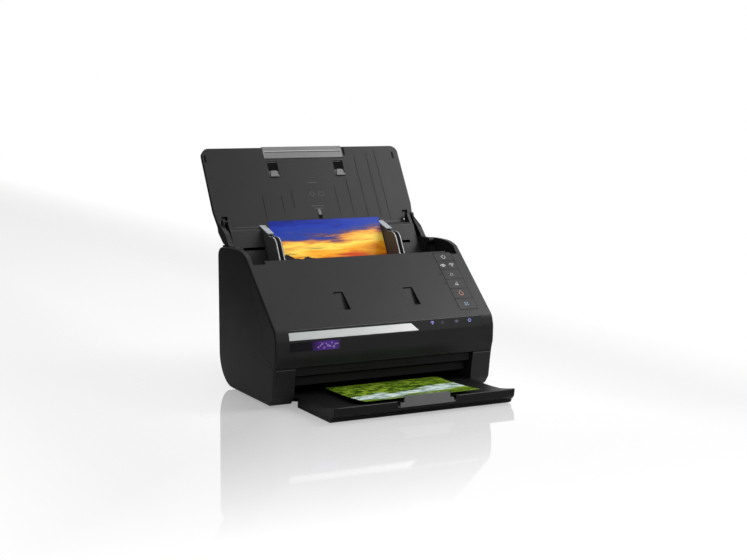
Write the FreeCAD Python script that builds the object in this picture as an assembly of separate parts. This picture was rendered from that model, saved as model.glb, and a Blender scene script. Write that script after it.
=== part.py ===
import FreeCAD, Part
import math
import os

# A sheet-fed photo scanner, in millimetres. X runs to the right, Y to the back and Z up.
# The origin is on the table, below the middle of the casing. Z = 0 is the underside of the feet.

# Casing
HALF_WIDTH = 148.0
SKIN = 2.5
SIDE_SKIN = 3.0
EDGE_RADIUS = 2.2
BOTTOM_Z = 1.6
REAR_Y = 85.0
REAR_LEAN = 2.0
REAR_BOTTOM_RADIUS = 41.0
TOP_Z = 176.0
TOP_FRONT_Z = 175.0
FRONT_Y = -91.0
CHEEK_INNER = 141.3
CHEEK_BOTTOM_Z = 148.0
REAR_WALL_TOP_Z = 149.0
GAP = 0.3
PART_GAP = 0.4

# Sloping front of the cover, measured from its top edge
SLOPE_ANGLE = 42.0
SLOPE_TOP = (-7.4, 164.1)
SLOPE_LENGTH = 107.7
SLOPE_RISE = 9.0
NOTCH_ROW = 5.3

# Cover hinge and the line where cover and base part
HINGE = (-82.5, 52.5)
HINGE_EDGE_RADIUS = 6.4
HINGE_EAR_RADIUS = 2.9
HINGE_PIN_RADIUS = 1.5
HINGE_PIN_FIT = 0.05
HINGE_EAR_X = (124.0, 129.0)
EAR_FOOT = (-75.0, 45.0)
EAR_TURN = 249.0
PARTING_LOW = (-55.0, 58.0)
PARTING_MID = (-46.0, 90.0)
PARTING_TOP = (11.0, 182.0)

# Display band, strip and badge on the front
BAND_HALF = 130.5
BAND_Z = (79.3, 92.2)
BAND_DEEP = 1.2
STRIP_X = (-130.3, 31.5)
STRIP_SLANT = 9.5
STRIP_Z = (80.6, 89.4)
STRIP_DEEP = 0.4
BADGE_X = (-130.3, -65.5)
BADGE_Z = (67.0, 77.6)

# Keys beside the right edge of the slope: the edges of the rows, along the slope
KEY_X = (106.0, 131.6)
KEY_ROWS = (2.6, 16.6, 31.0, 46.8, 62.8, 79.0, 96.6)
KEY_SPLIT_ROW = 1
KEY_GAP = 0.6
KEY_THICK = 2.0
KEY_PROUD = 0.15
KEY_TRAVEL = 0.6
KEY_STEM_RADIUS = 2.0
KEY_STEM_LONG = 2.4
KEY_BOARD_THICK = 1.6
BOARD_TOP_ROW = 5.2

# Pockets in the slope that take the clips of the folded tray
CLIP_X = 47.8
POCKET_ROWS = (55.0, 83.0)
POCKET_HALF = (6.4, 8.0)
POCKET_DEEP = (1.6, 6.0)

# Input tray: the flap's top edge, its tilt and its size
PIVOT = (50.0, 172.5)
PIVOT_RADIUS = 2.0
PIVOT_FIT = 0.05
PIVOT_DEEP = 4.0
FLAP_FOOT = (99.0, 190.675)
FLAP_ANGLE = 60.0
FLAP_HALF = 142.5
FLAP_LOW_HALF = 138.5
FLAP_LONG = 117.0
FLAP_TOP = (
    FLAP_FOOT[0] + FLAP_LONG * math.cos(math.radians(FLAP_ANGLE)),
    FLAP_FOOT[1] + FLAP_LONG * math.sin(math.radians(FLAP_ANGLE)),
)
FLAP_TAPER_FROM = FLAP_LONG - 29.0
EAR_CUT_FROM = FLAP_LONG - 20.0
FLAP_CORNER = 10.0
FLAP_FRONT_SKIN = 2.5
FLAP_THICK = 7.6
FLAP_BACK_SKIN = 2.0
ARM_X = (134.0, 140.3)
ARM_HEAD_RADIUS = 3.3
ARM_ROW = FLAP_LONG - 15.0
ARM_HEEL = (88.0, 176.8)
ARM_ELBOW = (80.8, 189.0)
ARM_KNEE = (67.5, 175.2)
ARM_POST_Y = (57.5, 84.0)
WIDTH_LINES = (
    (-72.0, 68.0, 107.0),
    (-45.5, 70.0, 95.0),
    (-30.0, 62.0, 88.0),
    (33.9, 58.0, 101.0),
    (53.7, 48.0, 102.0),
    (74.0, 14.0, 104.0),
    (92.7, 10.0, 104.0),
    (106.0, 4.0, 110.0),
)
SEAT_ROWS = (20.6, 43.6)
SEAT_HALF = 7.2

# Tray extension and its pull handle
EXTENSION_HALF = 57.5
EXTENSION_LONG = 86.0
EXTENSION_THICK = 2.5
HANDLE_HALF = 57.5
HANDLE_LONG = 16.0
HANDLE_PROUD = 1.5

# Hopper panel that hangs from the tray
HOPPER_AXIS = (98.0, 202.0)
HOPPER_ANGLE = 58.4
HOPPER_HALF = 131.0
HOPPER_TOP = 10.2
HOPPER_LONG = 89.0
HOPPER_FRONT = 5.0
HOPPER_BACK = -15.7
HOPPER_SKIN = 2.0
HOPPER_BOSS_RADIUS = 2.8
HOPPER_TOP_RADIUS = 7.0
HOPPER_EAR_X = (127.0, 131.0)
HOPPER_LUG_RADIUS = 3.3
HOPPER_PIN_RADIUS = 1.5
HOPPER_PIN_FIT = 0.05

# Edge guides, their slot, racks and pinion
GUIDE_X = 80.2
GUIDE_PLATE = 2.0
GUIDE_PLATES_APART = 6.4
GUIDE_FRONT = 34.0
GUIDE_SHOULDER = 14.0
GUIDE_OPEN = 29.0
GUIDE_CLOSED = 52.0
PAD_LINE = ((6.6, -0.8), (31.0, 21.2))
PAD_ENDS = (1.5, 29.5)
PAD_THICK = 1.3
SLOT_ROW = 41.0
SLOT_HIGH = 4.0
PINION_TEETH = 16
GEAR_MODULE = 1.0
RACK_HIGH = 4.0
RACK_THICK = 2.6

# Paper path: points on the lower guide, from the mouth to the exit
PATH = ((45.5, 122.0), (27.0, 92.0), (5.0, 61.5), (-30.0, 43.0), (-66.0, 34.0))
PATH_GAP = 2.2
GUIDE_THICK = 3.0
PATH_HALF = 125.0
COVER_FRAME_HALF = 119.0
SIDE_PLATE = 2.0
SIDE_PLATE_TOP = 114.0
LEDGE_FRONT = -24.0
SILL_HALF = 118.0
SILL_LOW_Z = 22.6
PANEL_Y = (-80.5, -78.0)
PANEL_Z = (36.0, 49.4)

# Rollers: the distance along the path segment, radii
FEED_ROLLER_RADIUS = 9.0
SMALL_ROLLER_RADIUS = 6.0
IDLER_RADIUS = 5.0
SHAFT_RADIUS = 3.0
SHAFT_FIT = 0.05
COLLAR_RADIUS = 4.6
NIP_GAP = 0.3
ROLLER_PROUD = 0.7
TYRE_X = ((-26.0, -6.0), (6.0, 26.0))
WIDE_TYRE_X = ((-84.0, -64.0), (-30.0, -10.0), (10.0, 30.0), (64.0, 84.0))
DRIVE_X = (-141.0, -136.5)
BELT_X = (-134.5, -129.0)
FEED_GEAR_TEETH = 36
MOTOR_PINION_TEETH = 12
MOTOR_RADIUS = 14.0
MOTOR_LONG = 30.0
BELT_THICK = 1.4
BELT_SLACK = 0.12
PULLEY_RADIUS = {"feed": 7.5, "small": 5.0}

# Recess in the front and the output tray
RECESS_HALF = 120.5
RECESS_TOP_Z = 49.6
RAIL_THICK = 3.0
TRAY_HALF = 119.0
TRAY_FRONT_Y = -184.0
TRAY_TRAVEL = 97.0
TRAY_REAR_Y = -66.0
TRAY_LIP_TOP = 19.4
TRAY_SKIRT = 2.5
TRAY_SKIRT_LOW_Z = 0.8
TRAY_SKIRT_Y = (23.4, 96.0)
TRAY_SLOT_GAP = 0.6
TRAY_FLOOR_Z = (10.2, 12.7)
TRAY_LIP_LOW = 6.2
TRAY_GROOVE = 0.6
SEAT_FLOOR = 0.9
OUT_EXT_HALF = 38.0
STOP_AXIS = (-183.4, 12.6)
STOP_PIN = 0.7
STOP_THICK = 2.2
STOP_HALF = (35.0, 30.0)
STOP_Z = (17.0, 24.5)

# Underside
FLOOR_OPENING = (132.0, -58.0, 40.0)
FOOT_RADIUS = 9.0
FOOT_X = 104.0
FOOT_Y = (-47.0, 29.0)
SCREW_RADIUS = 3.2
SCREW_BESIDE_FOOT = 18.0

# Sockets in the rear wall
INLET_X = -92.0
USB_X = -62.0
SOCKET_Z = 60.0
INLET_RADIUS = 2.8
INLET_BODY = (10.0, 11.0)
USB_BODY = (12.4, 11.2)
LOCK_X = 112.0
LOCK_SLOT = (7.0, 3.0)
BOARD = (-120.0, 10.0, 48.0, 108.0)
BOARD_Y = 71.0
BOARD_THICK = 1.6

X_AXIS = FreeCAD.Vector(1, 0, 0)


def corner(a, b, c, radius):
    """The start, middle and end of the tangent arc that rounds the corner b between a and c."""
    u = (FreeCAD.Vector(0, *a) - FreeCAD.Vector(0, *b)).normalize()
    w = (FreeCAD.Vector(0, *c) - FreeCAD.Vector(0, *b)).normalize()
    half = u.getAngle(w) / 2
    reach = radius / math.tan(half)
    point = FreeCAD.Vector(0, *b)
    middle = (u + w).normalize()
    centre = point + middle * (radius / math.sin(half))
    return point + u * reach, centre - middle * radius, point + w * reach


def outline(points):
    """A closed wire in the YZ plane through (y, z) or (y, z, radius) corners."""
    count = len(points)
    stations = []
    for i, point in enumerate(points):
        before = points[i - 1][:2]
        after = points[(i + 1) % count][:2]
        if len(point) > 2:
            stations.append(corner(before, point[:2], after, point[2]))
        else:
            stations.append((FreeCAD.Vector(0, *point),))
    edges = []
    for i, station in enumerate(stations):
        if len(station) > 1:
            edges.append(Part.Arc(*station).toShape())
        leave = station[-1]
        arrive = stations[(i + 1) % count][0]
        if leave.distanceToPoint(arrive) > 1e-6:
            edges.append(Part.LineSegment(leave, arrive).toShape())
    return Part.Wire(edges)


def slab(points, x0, x1):
    """The outline of points, drawn out along X from x0 to x1."""
    face = Part.Face(outline(points))
    face.translate(FreeCAD.Vector(x0, 0, 0))
    return face.extrude(FreeCAD.Vector(x1 - x0, 0, 0))


def box(x0, x1, y0, y1, z0, z1):
    return Part.makeBox(x1 - x0, y1 - y0, z1 - z0, FreeCAD.Vector(x0, y0, z0))


def rod(centre, radius, x0, x1):
    """A round bar along X at the (y, z) centre."""
    return Part.makeCylinder(radius, x1 - x0, FreeCAD.Vector(x0, *centre), X_AXIS)


def mirrored(shape):
    return shape.mirror(FreeCAD.Vector(0, 0, 0), X_AXIS)


def both(shape):
    """The shape and its mirror image about the middle plane, as one compound."""
    return Part.makeCompound([shape, mirrored(shape)])


def joined(*shapes):
    """One solid of shapes that touch or overlap."""
    whole = shapes[0].fuse(list(shapes[1:]))
    return whole.removeSplitter()


def placed(shape, angle, origin):
    """A shape drawn flat, with -Y down the slope and +Z out of it, set on a tilted plane."""
    copy = shape.copy()
    copy.rotate(FreeCAD.Vector(0, 0, 0), X_AXIS, angle)
    copy.translate(FreeCAD.Vector(0, *origin))
    return copy


def at(angle, origin, row, out):
    """The (y, z) point that lies row down a tilted plane from origin and out in front of it."""
    a = math.radians(angle)
    y = origin[0] - row * math.cos(a) - out * math.sin(a)
    z = origin[1] - row * math.sin(a) + out * math.cos(a)
    return y, z


def slope_at(row, out=0.0):
    return at(SLOPE_ANGLE, SLOPE_TOP, row, out)


def flap_at(row, out=0.0):
    return at(FLAP_ANGLE, FLAP_TOP, row, out)


def hopper_at(row, out=0.0):
    return at(HOPPER_ANGLE, HOPPER_AXIS, row, out)


def on_slope(shape):
    return placed(shape, SLOPE_ANGLE, SLOPE_TOP)


def on_flap(shape):
    return placed(shape, FLAP_ANGLE, FLAP_TOP)


def on_hopper(shape):
    return placed(shape, HOPPER_ANGLE, HOPPER_AXIS)


def flat_plate(half, row0, row1, low, high, radius=0.0):
    """A plate in a tilted frame, from row0 down to row1, with rounded corners at row0."""
    plate = box(-half, half, -row1, -row0, low, high)
    if radius:
        tall = [e for e in plate.Edges if abs(e.Length - (high - low)) < 1e-6]
        upper = [e for e in tall if abs(e.CenterOfMass.y + row0) < 1e-6]
        plate = plate.makeFillet(radius, upper)
    return plate


def casing_outline(inset):
    """The outside of the casing seen from the side, or the same moved in by inset."""
    low_front = slope_at(SLOPE_LENGTH)
    high_front = slope_at(-SLOPE_RISE)
    points = [
        (REAR_Y, BOTTOM_Z, REAR_BOTTOM_RADIUS),
        (REAR_Y + REAR_LEAN, TOP_Z - 3.2, 12.0),
        (46.0, TOP_Z, 300.0),
        (14.0, TOP_FRONT_Z, 60.0),
        (high_front[0], high_front[1], 12.0),
        (low_front[0], low_front[1], 14.0),
        (FRONT_Y, 80.0, 20.0),
        (FRONT_Y + 0.4, 60.0, 20.0),
        (FRONT_Y + 3.6, 50.0, 10.0),
        (FRONT_Y + 6.4, 34.0),
        (FRONT_Y + 9.2, 13.0, 12.0),
        (FRONT_Y + 18.0, BOTTOM_Z, 10.0),
    ]
    wire = outline(points)
    if inset:
        wire = Part.Face(wire).makeOffset2D(-inset).OuterWire
    return wire


def casing_solid(half, inset=0.0, radius=0.0):
    face = Part.Face(casing_outline(inset))
    face.translate(FreeCAD.Vector(-half, 0, 0))
    solid = face.extrude(FreeCAD.Vector(2 * half, 0, 0))
    if radius:
        ends = [e for e in solid.Edges if abs(abs(e.CenterOfMass.x) - half) < 1e-3]
        solid = solid.makeFillet(radius, ends)
    return solid


def cover_region(grow):
    """The space that the cover takes inside the casing, grown by a gap for the base."""
    points = [
        (HINGE[0] - 40.0, HINGE[1]),
        HINGE,
        (PARTING_LOW[0], PARTING_LOW[1], 6.0),
        (PARTING_MID[0], PARTING_MID[1], 20.0),
        PARTING_TOP,
        (PARTING_TOP[0] - 150.0, PARTING_TOP[1] + 20.0),
    ]
    face = Part.Face(outline(points))
    if grow:
        face = face.makeOffset2D(grow)
    reach = HALF_WIDTH + 2.0
    face.translate(FreeCAD.Vector(-reach, 0, 0))
    block = face.extrude(FreeCAD.Vector(2 * reach, 0, 0))
    return block.fuse(rod(HINGE, HINGE_EDGE_RADIUS + grow, -reach, reach))


def path_plate(side, thick, half, stop=len(PATH)):
    """A plate that follows the paper path, with its face side away from the path's line."""
    points = [FreeCAD.Vector(0, *p) for p in PATH[:stop]]
    near = offset_line(points, side)
    far = offset_line(points, side + math.copysign(thick, side) if side else -thick)
    ring = near + far[::-1]
    face = Part.Face(Part.makePolygon(ring + [ring[0]]))
    face.translate(FreeCAD.Vector(-half, 0, 0))
    return face.extrude(FreeCAD.Vector(2 * half, 0, 0))


def offset_line(points, out):
    """Points moved out to the front and top side of the line that they make."""
    moved = []
    for i, point in enumerate(points):
        ahead = points[min(i + 1, len(points) - 1)] - points[min(i, len(points) - 2)]
        behind = points[max(i, 1)] - points[max(i - 1, 0)]
        u = ahead.normalize()
        w = behind.normalize()
        n1 = FreeCAD.Vector(0, u.z, -u.y)
        n2 = FreeCAD.Vector(0, w.z, -w.y)
        n = (n1 + n2).normalize()
        moved.append(point + n * (out / n.dot(n1)))
    return moved


def path_spot(index, share, out):
    """The (y, z) point at a share of one path segment, out to the cover's side."""
    a = FreeCAD.Vector(0, *PATH[index])
    b = FreeCAD.Vector(0, *PATH[index + 1])
    u = (b - a).normalize()
    point = a + (b - a) * share + FreeCAD.Vector(0, u.z, -u.y) * out
    return point.y, point.z


def path_tilt(index):
    a, b = PATH[index], PATH[index + 1]
    return math.degrees(math.atan2(a[1] - b[1], a[0] - b[0]))


def gear(teeth, x0, x1, centre, phase, bore):
    """A spur gear along X, with its first tooth at phase degrees from +Y towards +Z."""
    pitch = teeth * GEAR_MODULE / 2
    root = pitch - 1.15 * GEAR_MODULE
    tip = pitch + 0.85 * GEAR_MODULE
    half = 90.0 / teeth
    ring = []
    for i in range(teeth):
        middle = phase + i * 360.0 / teeth
        for radius, share in ((root, -1.25), (tip, -0.42), (tip, 0.42), (root, 1.25)):
            a = math.radians(middle + share * half)
            ring.append(FreeCAD.Vector(x0, radius * math.cos(a), radius * math.sin(a)))
    face = Part.Face(Part.makePolygon(ring + [ring[0]]))
    blank = face.extrude(FreeCAD.Vector(x1 - x0, 0, 0))
    blank.translate(FreeCAD.Vector(0, *centre))
    if bore:
        blank = blank.cut(rod(centre, bore, x0 - 1, x1 + 1))
    return blank


# Places that several pieces share
FEED = path_spot(0, 0.80, ROLLER_PROUD - FEED_ROLLER_RADIUS)
RETARD = path_spot(0, 0.80, ROLLER_PROUD + NIP_GAP + FEED_ROLLER_RADIUS)
TRANSPORT = path_spot(1, 0.62, ROLLER_PROUD - SMALL_ROLLER_RADIUS)
TRANSPORT_IDLER = path_spot(1, 0.62, ROLLER_PROUD + NIP_GAP + IDLER_RADIUS)
EXIT = path_spot(3, 0.55, ROLLER_PROUD - SMALL_ROLLER_RADIUS)
EXIT_IDLER = path_spot(3, 0.55, ROLLER_PROUD + NIP_GAP + IDLER_RADIUS)
SCAN = (2, 0.5)
SCAN_BAR = (13.0, 12.0)
SCAN_HALF = 111.0
GLASS = (9.0, 1.2)
GEAR_REACH = (FEED_GEAR_TEETH + MOTOR_PINION_TEETH) * GEAR_MODULE / 2 + 0.15
MOTOR_TURN = math.radians(-68.0)
MOTOR = (
    FEED[0] + GEAR_REACH * math.cos(MOTOR_TURN),
    FEED[1] + GEAR_REACH * math.sin(MOTOR_TURN),
)
SIDE_PLATE_X = (PATH_HALF, PATH_HALF + SIDE_PLATE)


def base_shell():
    outer = casing_solid(HALF_WIDTH, radius=EDGE_RADIUS)
    inner = casing_solid(HALF_WIDTH - SIDE_SKIN, inset=SKIN)
    reach = HALF_WIDTH + 5.0
    cheek_tops = both(box(CHEEK_INNER, reach, -60, 120, CHEEK_BOTTOM_Z, TOP_Z + 5))
    inner = inner.cut(cheek_tops)
    well = box(-CHEEK_INNER, CHEEK_INNER, -60, 120, REAR_WALL_TOP_Z, TOP_Z + 5)
    mouth = box(-RECESS_HALF, RECESS_HALF, -120, -58, -1, HINGE[1] + 10)
    wide, low, high = FLOOR_OPENING
    opening = box(-wide, wide, low, high, -1, BOTTOM_Z + SKIN + 2)
    shell = outer.cut([inner, well, mouth, opening, cover_region(PART_GAP)])
    rail_low = BOTTOM_Z + SKIN + 2.2
    rail_back = PATH[-1][0] - 1.5
    rail = box(RECESS_HALF, RECESS_HALF + RAIL_THICK, FRONT_Y + 4, rail_back, rail_low, EAR_FOOT[1])
    runner = box(RECESS_HALF, RECESS_HALF + RAIL_THICK, rail_back, 20, rail_low, 25.0)
    rail = rail.fuse(runner).common(casing_solid(HALF_WIDTH, inset=0.6))
    foot = box(RECESS_HALF, RECESS_HALF + RAIL_THICK, FRONT_Y + 4, -59, BOTTOM_Z + 0.6, 12.0)
    rail = rail.fuse(foot.common(casing_solid(HALF_WIDTH, inset=0.6)))
    turn = math.radians(EAR_TURN)
    heel = (
        HINGE[0] + HINGE_EAR_RADIUS * math.cos(turn),
        HINGE[1] + HINGE_EAR_RADIUS * math.sin(turn),
    )
    tail = [
        (HINGE[0], HINGE[1] + HINGE_EAR_RADIUS),
        (rail_back, EAR_FOOT[1] + 3.5),
        (rail_back, EAR_FOOT[1]),
        EAR_FOOT,
        (EAR_FOOT[0], EAR_FOOT[1] + 1.5),
        heel,
    ]
    ear = slab(tail, *HINGE_EAR_X).fuse(rod(HINGE, HINGE_EAR_RADIUS, *HINGE_EAR_X))
    web = box(RECESS_HALF, HINGE_EAR_X[1], EAR_FOOT[0], rail_back, 34.0, EAR_FOOT[1])
    ear = ear.fuse(web)
    pin_hole = rod(HINGE, HINGE_PIN_RADIUS + HINGE_PIN_FIT, 110, HINGE_EAR_X[1] + 1)
    ear = ear.cut(pin_hole)
    block = bearing_block()
    standoffs = []
    for x in (BOARD[0] + 6, BOARD[1] - 6):
        for z in (BOARD[2] + 6, BOARD[3] - 6):
            post = Part.makeCylinder(
                3.0, 20.0, FreeCAD.Vector(x, BOARD_Y + BOARD_THICK, z), FreeCAD.Vector(0, 1, 0)
            )
            standoffs.append(post.common(casing_solid(HALF_WIDTH, inset=0.8)))
    post = arm_post()
    solids = [shell] + [f(part) for part in (rail, ear, block, post) for f in (lambda s: s, mirrored)]
    shell = solids[0].fuse(solids[1:] + standoffs)
    pivots = rod(PIVOT, PIVOT_RADIUS + PIVOT_FIT, CHEEK_INNER - 1, CHEEK_INNER + PIVOT_DEEP + 0.3)
    inlet = Part.makeCylinder(
        5.2, 12, FreeCAD.Vector(INLET_X, REAR_Y - 6, SOCKET_Z), FreeCAD.Vector(0, 1, 0)
    )
    usb = box(
        USB_X - USB_BODY[0] / 2 - GAP,
        USB_X + USB_BODY[0] / 2 + GAP,
        REAR_Y - 6,
        REAR_Y + 6,
        SOCKET_Z - USB_BODY[1] / 2 - GAP,
        SOCKET_Z + USB_BODY[1] / 2 + GAP,
    )
    lock = box(
        LOCK_X - LOCK_SLOT[0] / 2,
        LOCK_X + LOCK_SLOT[0] / 2,
        REAR_Y - 6,
        REAR_Y + 6,
        SOCKET_Z - LOCK_SLOT[1] / 2,
        SOCKET_Z + LOCK_SLOT[1] / 2,
    )
    shell = shell.cut([pivots, mirrored(pivots), inlet, usb, lock])
    return shell.removeSplitter()


def arm_post():
    """The wall between cheek and well that the arm of the input tray rests above."""
    y0, y1 = ARM_POST_Y
    fall = (ARM_HEEL[1] - PIVOT[1] + ARM_HEAD_RADIUS) / (ARM_HEEL[0] - PIVOT[0] - 8.0)
    top = PIVOT[1] - ARM_HEAD_RADIUS - 0.8
    points = [(y0, CHEEK_BOTTOM_Z), (y0, top), (y1, top + fall * (y1 - y0)), (y1, CHEEK_BOTTOM_Z)]
    return slab(points, ARM_X[0], CHEEK_INNER + 1.0)


def bearing_block():
    """The small block under each tray pivot, on the inside of the cheek."""
    return box(ARM_X[0], HALF_WIDTH - 2, PIVOT[0] - 5, PIVOT[0] + 5, CHEEK_BOTTOM_Z, PIVOT[1] - 8.0)


def bottom_plate():
    wide, low, high = FLOOR_OPENING
    lower = box(-wide + GAP, wide - GAP, low + GAP, high - GAP, BOTTOM_Z, BOTTOM_Z + SKIN)
    flange = box(-wide - 4, wide + 4, low - 0.5, high + 4, BOTTOM_Z + SKIN, BOTTOM_Z + SKIN + 2)
    plate = joined(lower, flange)
    holes = [
        Part.makeCylinder(SCREW_RADIUS + 0.2, 2.2, FreeCAD.Vector(x, y, BOTTOM_Z - 0.1))
        for x, y in screw_spots()
    ]
    slot = box(
        TRAY_HALF - TRAY_SKIRT - TRAY_SLOT_GAP,
        TRAY_HALF + TRAY_SLOT_GAP,
        low - 1,
        TRAY_FRONT_Y + TRAY_SKIRT_Y[1] + TRAY_TRAVEL + 1.0,
        BOTTOM_Z - 1,
        BOTTOM_Z + SKIN + 3,
    )
    return plate.cut(holes + [slot, mirrored(slot)])


def screw_spots():
    x = FOOT_X - SCREW_BESIDE_FOOT
    return [(side * x, y) for side in (-1, 1) for y in FOOT_Y]


def floor_screws():
    screws = []
    for x, y in screw_spots():
        head = Part.makeCylinder(SCREW_RADIUS, 2.0, FreeCAD.Vector(x, y, BOTTOM_Z + 0.1))
        cross = Part.makeBox(3.6, 0.8, 0.9, FreeCAD.Vector(x - 1.8, y - 0.4, BOTTOM_Z))
        upright = Part.makeBox(0.8, 3.6, 0.9, FreeCAD.Vector(x - 0.4, y - 1.8, BOTTOM_Z))
        screws.append(head.cut([cross, upright]))
    return Part.makeCompound(screws)


def rubber_feet():
    feet = []
    for x in (-FOOT_X, FOOT_X):
        for y in FOOT_Y:
            pad = Part.makeCylinder(FOOT_RADIUS, BOTTOM_Z, FreeCAD.Vector(x, y, 0))
            rim = [e for e in pad.Edges if abs(e.CenterOfMass.z) < 1e-6 and e.Length > FOOT_RADIUS]
            feet.append(pad.makeFillet(1.0, rim))
    return Part.makeCompound(feet)


def shaft_holes(x0, x1):
    return [rod(c, SHAFT_RADIUS + SHAFT_FIT, x0, x1) for c in (FEED, TRANSPORT, EXIT)]


def side_plate(side):
    """The steel plate that carries the roller shafts on one side."""
    low = BOTTOM_Z + SKIN + 2
    points = [
        (-64.0, low),
        (44.0, low),
        (60.0, 20.0),
        (60.0, SIDE_PLATE_TOP),
        (PATH[0][0] + 5.0, SIDE_PLATE_TOP),
        (PATH[1][0] + 12.0, 84.0),
        (10.0, 60.0),
        (-28.0, 40.0),
        (-64.0, 32.0),
    ]
    x0, x1 = SIDE_PLATE_X
    plate = slab(points, x0, x1).fuse(
        [rod(c, SHAFT_RADIUS + 4.0, x0, x1) for c in (FEED, TRANSPORT, EXIT)]
    )
    plate = plate.cut(shaft_holes(x0 - 1, x1 + 1))
    if side < 0:
        plate = plate.cut(rod(MOTOR, 5.0, x0 - 1, x1 + 1))
        return mirrored(plate).removeSplitter()
    return plate.removeSplitter()


def roller_windows(spots, grow, x0_grow=1.2):
    cuts = []
    for centre, radius, tyres in spots:
        for a, b in tyres:
            cuts.append(rod(centre, radius + grow, a - x0_grow, b + x0_grow))
    return cuts


def base_windows():
    spots = (
        (FEED, FEED_ROLLER_RADIUS, TYRE_X),
        (TRANSPORT, SMALL_ROLLER_RADIUS, WIDE_TYRE_X),
        (EXIT, SMALL_ROLLER_RADIUS, WIDE_TYRE_X),
    )
    cuts = roller_windows(spots, 0.8)
    for centre, _, _ in spots:
        cuts.append(rod(centre, SHAFT_RADIUS + 0.8, -PATH_HALF - 1, PATH_HALF + 1))
        cuts.append(rod(centre, COLLAR_RADIUS + 0.5, PATH_HALF - 2.6, PATH_HALF + 1))
        cuts.append(rod(centre, COLLAR_RADIUS + 0.5, -PATH_HALF - 1, -PATH_HALF + 2.6))
    return cuts


def scan_block(out0, out1, length, half):
    """A bar across the scan spot, from out0 to out1 on the cover's side of the path."""
    index, share = SCAN
    block = box(-half, half, -length / 2, length / 2, out0, out1)
    return placed(block, path_tilt(index), path_spot(index, share, 0))


def lower_guide():
    plate = path_plate(0.0, GUIDE_THICK, PATH_HALF)
    plate = plate.cut(base_windows() + [scan_block(-9, 2, SCAN_BAR[0] + 2 * GAP, SCAN_HALF + GAP)])
    return joined(plate, exit_sill())


def exit_sill():
    """The wall under the end of the paper path, behind the output tray's lip."""
    y, z = PATH[-1]
    points = [(y + 1.5, z - 2.6), (y - 0.4, z - 0.8), (y - 3.0, z - 2.0), (y - 3.5, SILL_LOW_Z),
              (y - 1.0, SILL_LOW_Z)]
    return slab(points, -SILL_HALF, SILL_HALF)


def rear_deck():
    """The floor of the well behind the mouth, on the side plates."""
    top = PATH[0][1] - 1.5
    y0 = PATH[0][0] + 4.2
    deck = box(-CHEEK_INNER + 2, CHEEK_INNER - 2, y0, REAR_Y - SKIN - GAP, SIDE_PLATE_TOP, top - 3.0)
    lip = box(-PATH_HALF, PATH_HALF, y0, y0 + 4.0, SIDE_PLATE_TOP, top)
    ledge = box(PATH_HALF + GAP, HALF_WIDTH - SIDE_SKIN - GAP, LEDGE_FRONT, y0 + 4.0, SIDE_PLATE_TOP, top - 3.0)
    return joined(deck, lip, ledge, mirrored(ledge))


def base_scan_bar():
    return scan_block(-SCAN_BAR[1], -GLASS[1] - 0.1, SCAN_BAR[0], SCAN_HALF)


def base_glass():
    return scan_block(-GLASS[1] - 0.1, -0.1, GLASS[0], SCAN_HALF - 2)


def roller(centre, radius, tyres, x0, x1, pulley):
    """A shaft with rubber tyres, a bush at each end and a belt pulley on the left."""
    shaft = rod(centre, SHAFT_RADIUS, x0, x1)
    tyre_rods = [rod(centre, radius, a, b) for a, b in tyres]
    wheel = rod(centre, pulley, BELT_X[0] + 0.3, BELT_X[1] - 0.3)
    flanges = [rod(centre, pulley + 1.2, BELT_X[0] - 1.0, BELT_X[0] + 0.1)]
    collars = [rod(centre, COLLAR_RADIUS, a, a + 1.6) for a in (-PATH_HALF + 0.4, PATH_HALF - 2.0)]
    return shaft.fuse(tyre_rods + [wheel] + flanges + collars).removeSplitter()


def feed_roller():
    end = SIDE_PLATE_X[1] + 3.0
    body = roller(FEED, FEED_ROLLER_RADIUS, TYRE_X, DRIVE_X[0] - 1.0, end, PULLEY_RADIUS["feed"])
    return body


def feed_gear():
    return gear(FEED_GEAR_TEETH, *DRIVE_X, FEED, math.degrees(MOTOR_TURN), SHAFT_RADIUS)


def motor_pinion():
    phase = math.degrees(MOTOR_TURN) + 180.0 + 180.0 / MOTOR_PINION_TEETH
    wheel = gear(MOTOR_PINION_TEETH, *DRIVE_X, MOTOR, phase, 0)
    shaft = rod(MOTOR, 2.0, DRIVE_X[1], -PATH_HALF + 6.0)
    return joined(wheel, shaft)


def drive_motor():
    x1 = -PATH_HALF + MOTOR_LONG
    can = rod(MOTOR, MOTOR_RADIUS, -PATH_HALF, x1)
    boss = rod(MOTOR, 4.5, -SIDE_PLATE_X[1], -PATH_HALF)
    plug = box(x1, x1 + 4, MOTOR[0] - 5, MOTOR[0] + 5, MOTOR[1] - 4, MOTOR[1] + 4)
    bore = rod(MOTOR, 2.0 + SHAFT_FIT, -SIDE_PLATE_X[1] - 1, -PATH_HALF + 6.5)
    return joined(can, boss, plug).cut(bore)


def small_roller(centre):
    end = SIDE_PLATE_X[1] + 3.0
    return roller(centre, SMALL_ROLLER_RADIUS, WIDE_TYRE_X, BELT_X[0] - 1.0, end, PULLEY_RADIUS["small"])


def belt():
    """The toothed belt's loop round the feed, transport and exit pulleys."""
    ring = belt_face(BELT_SLACK + BELT_THICK).cut(belt_face(BELT_SLACK))
    ring.translate(FreeCAD.Vector(BELT_X[0] + 0.5, 0, 0))
    return ring.extrude(FreeCAD.Vector(BELT_X[1] - BELT_X[0] - 1.0, 0, 0))


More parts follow.
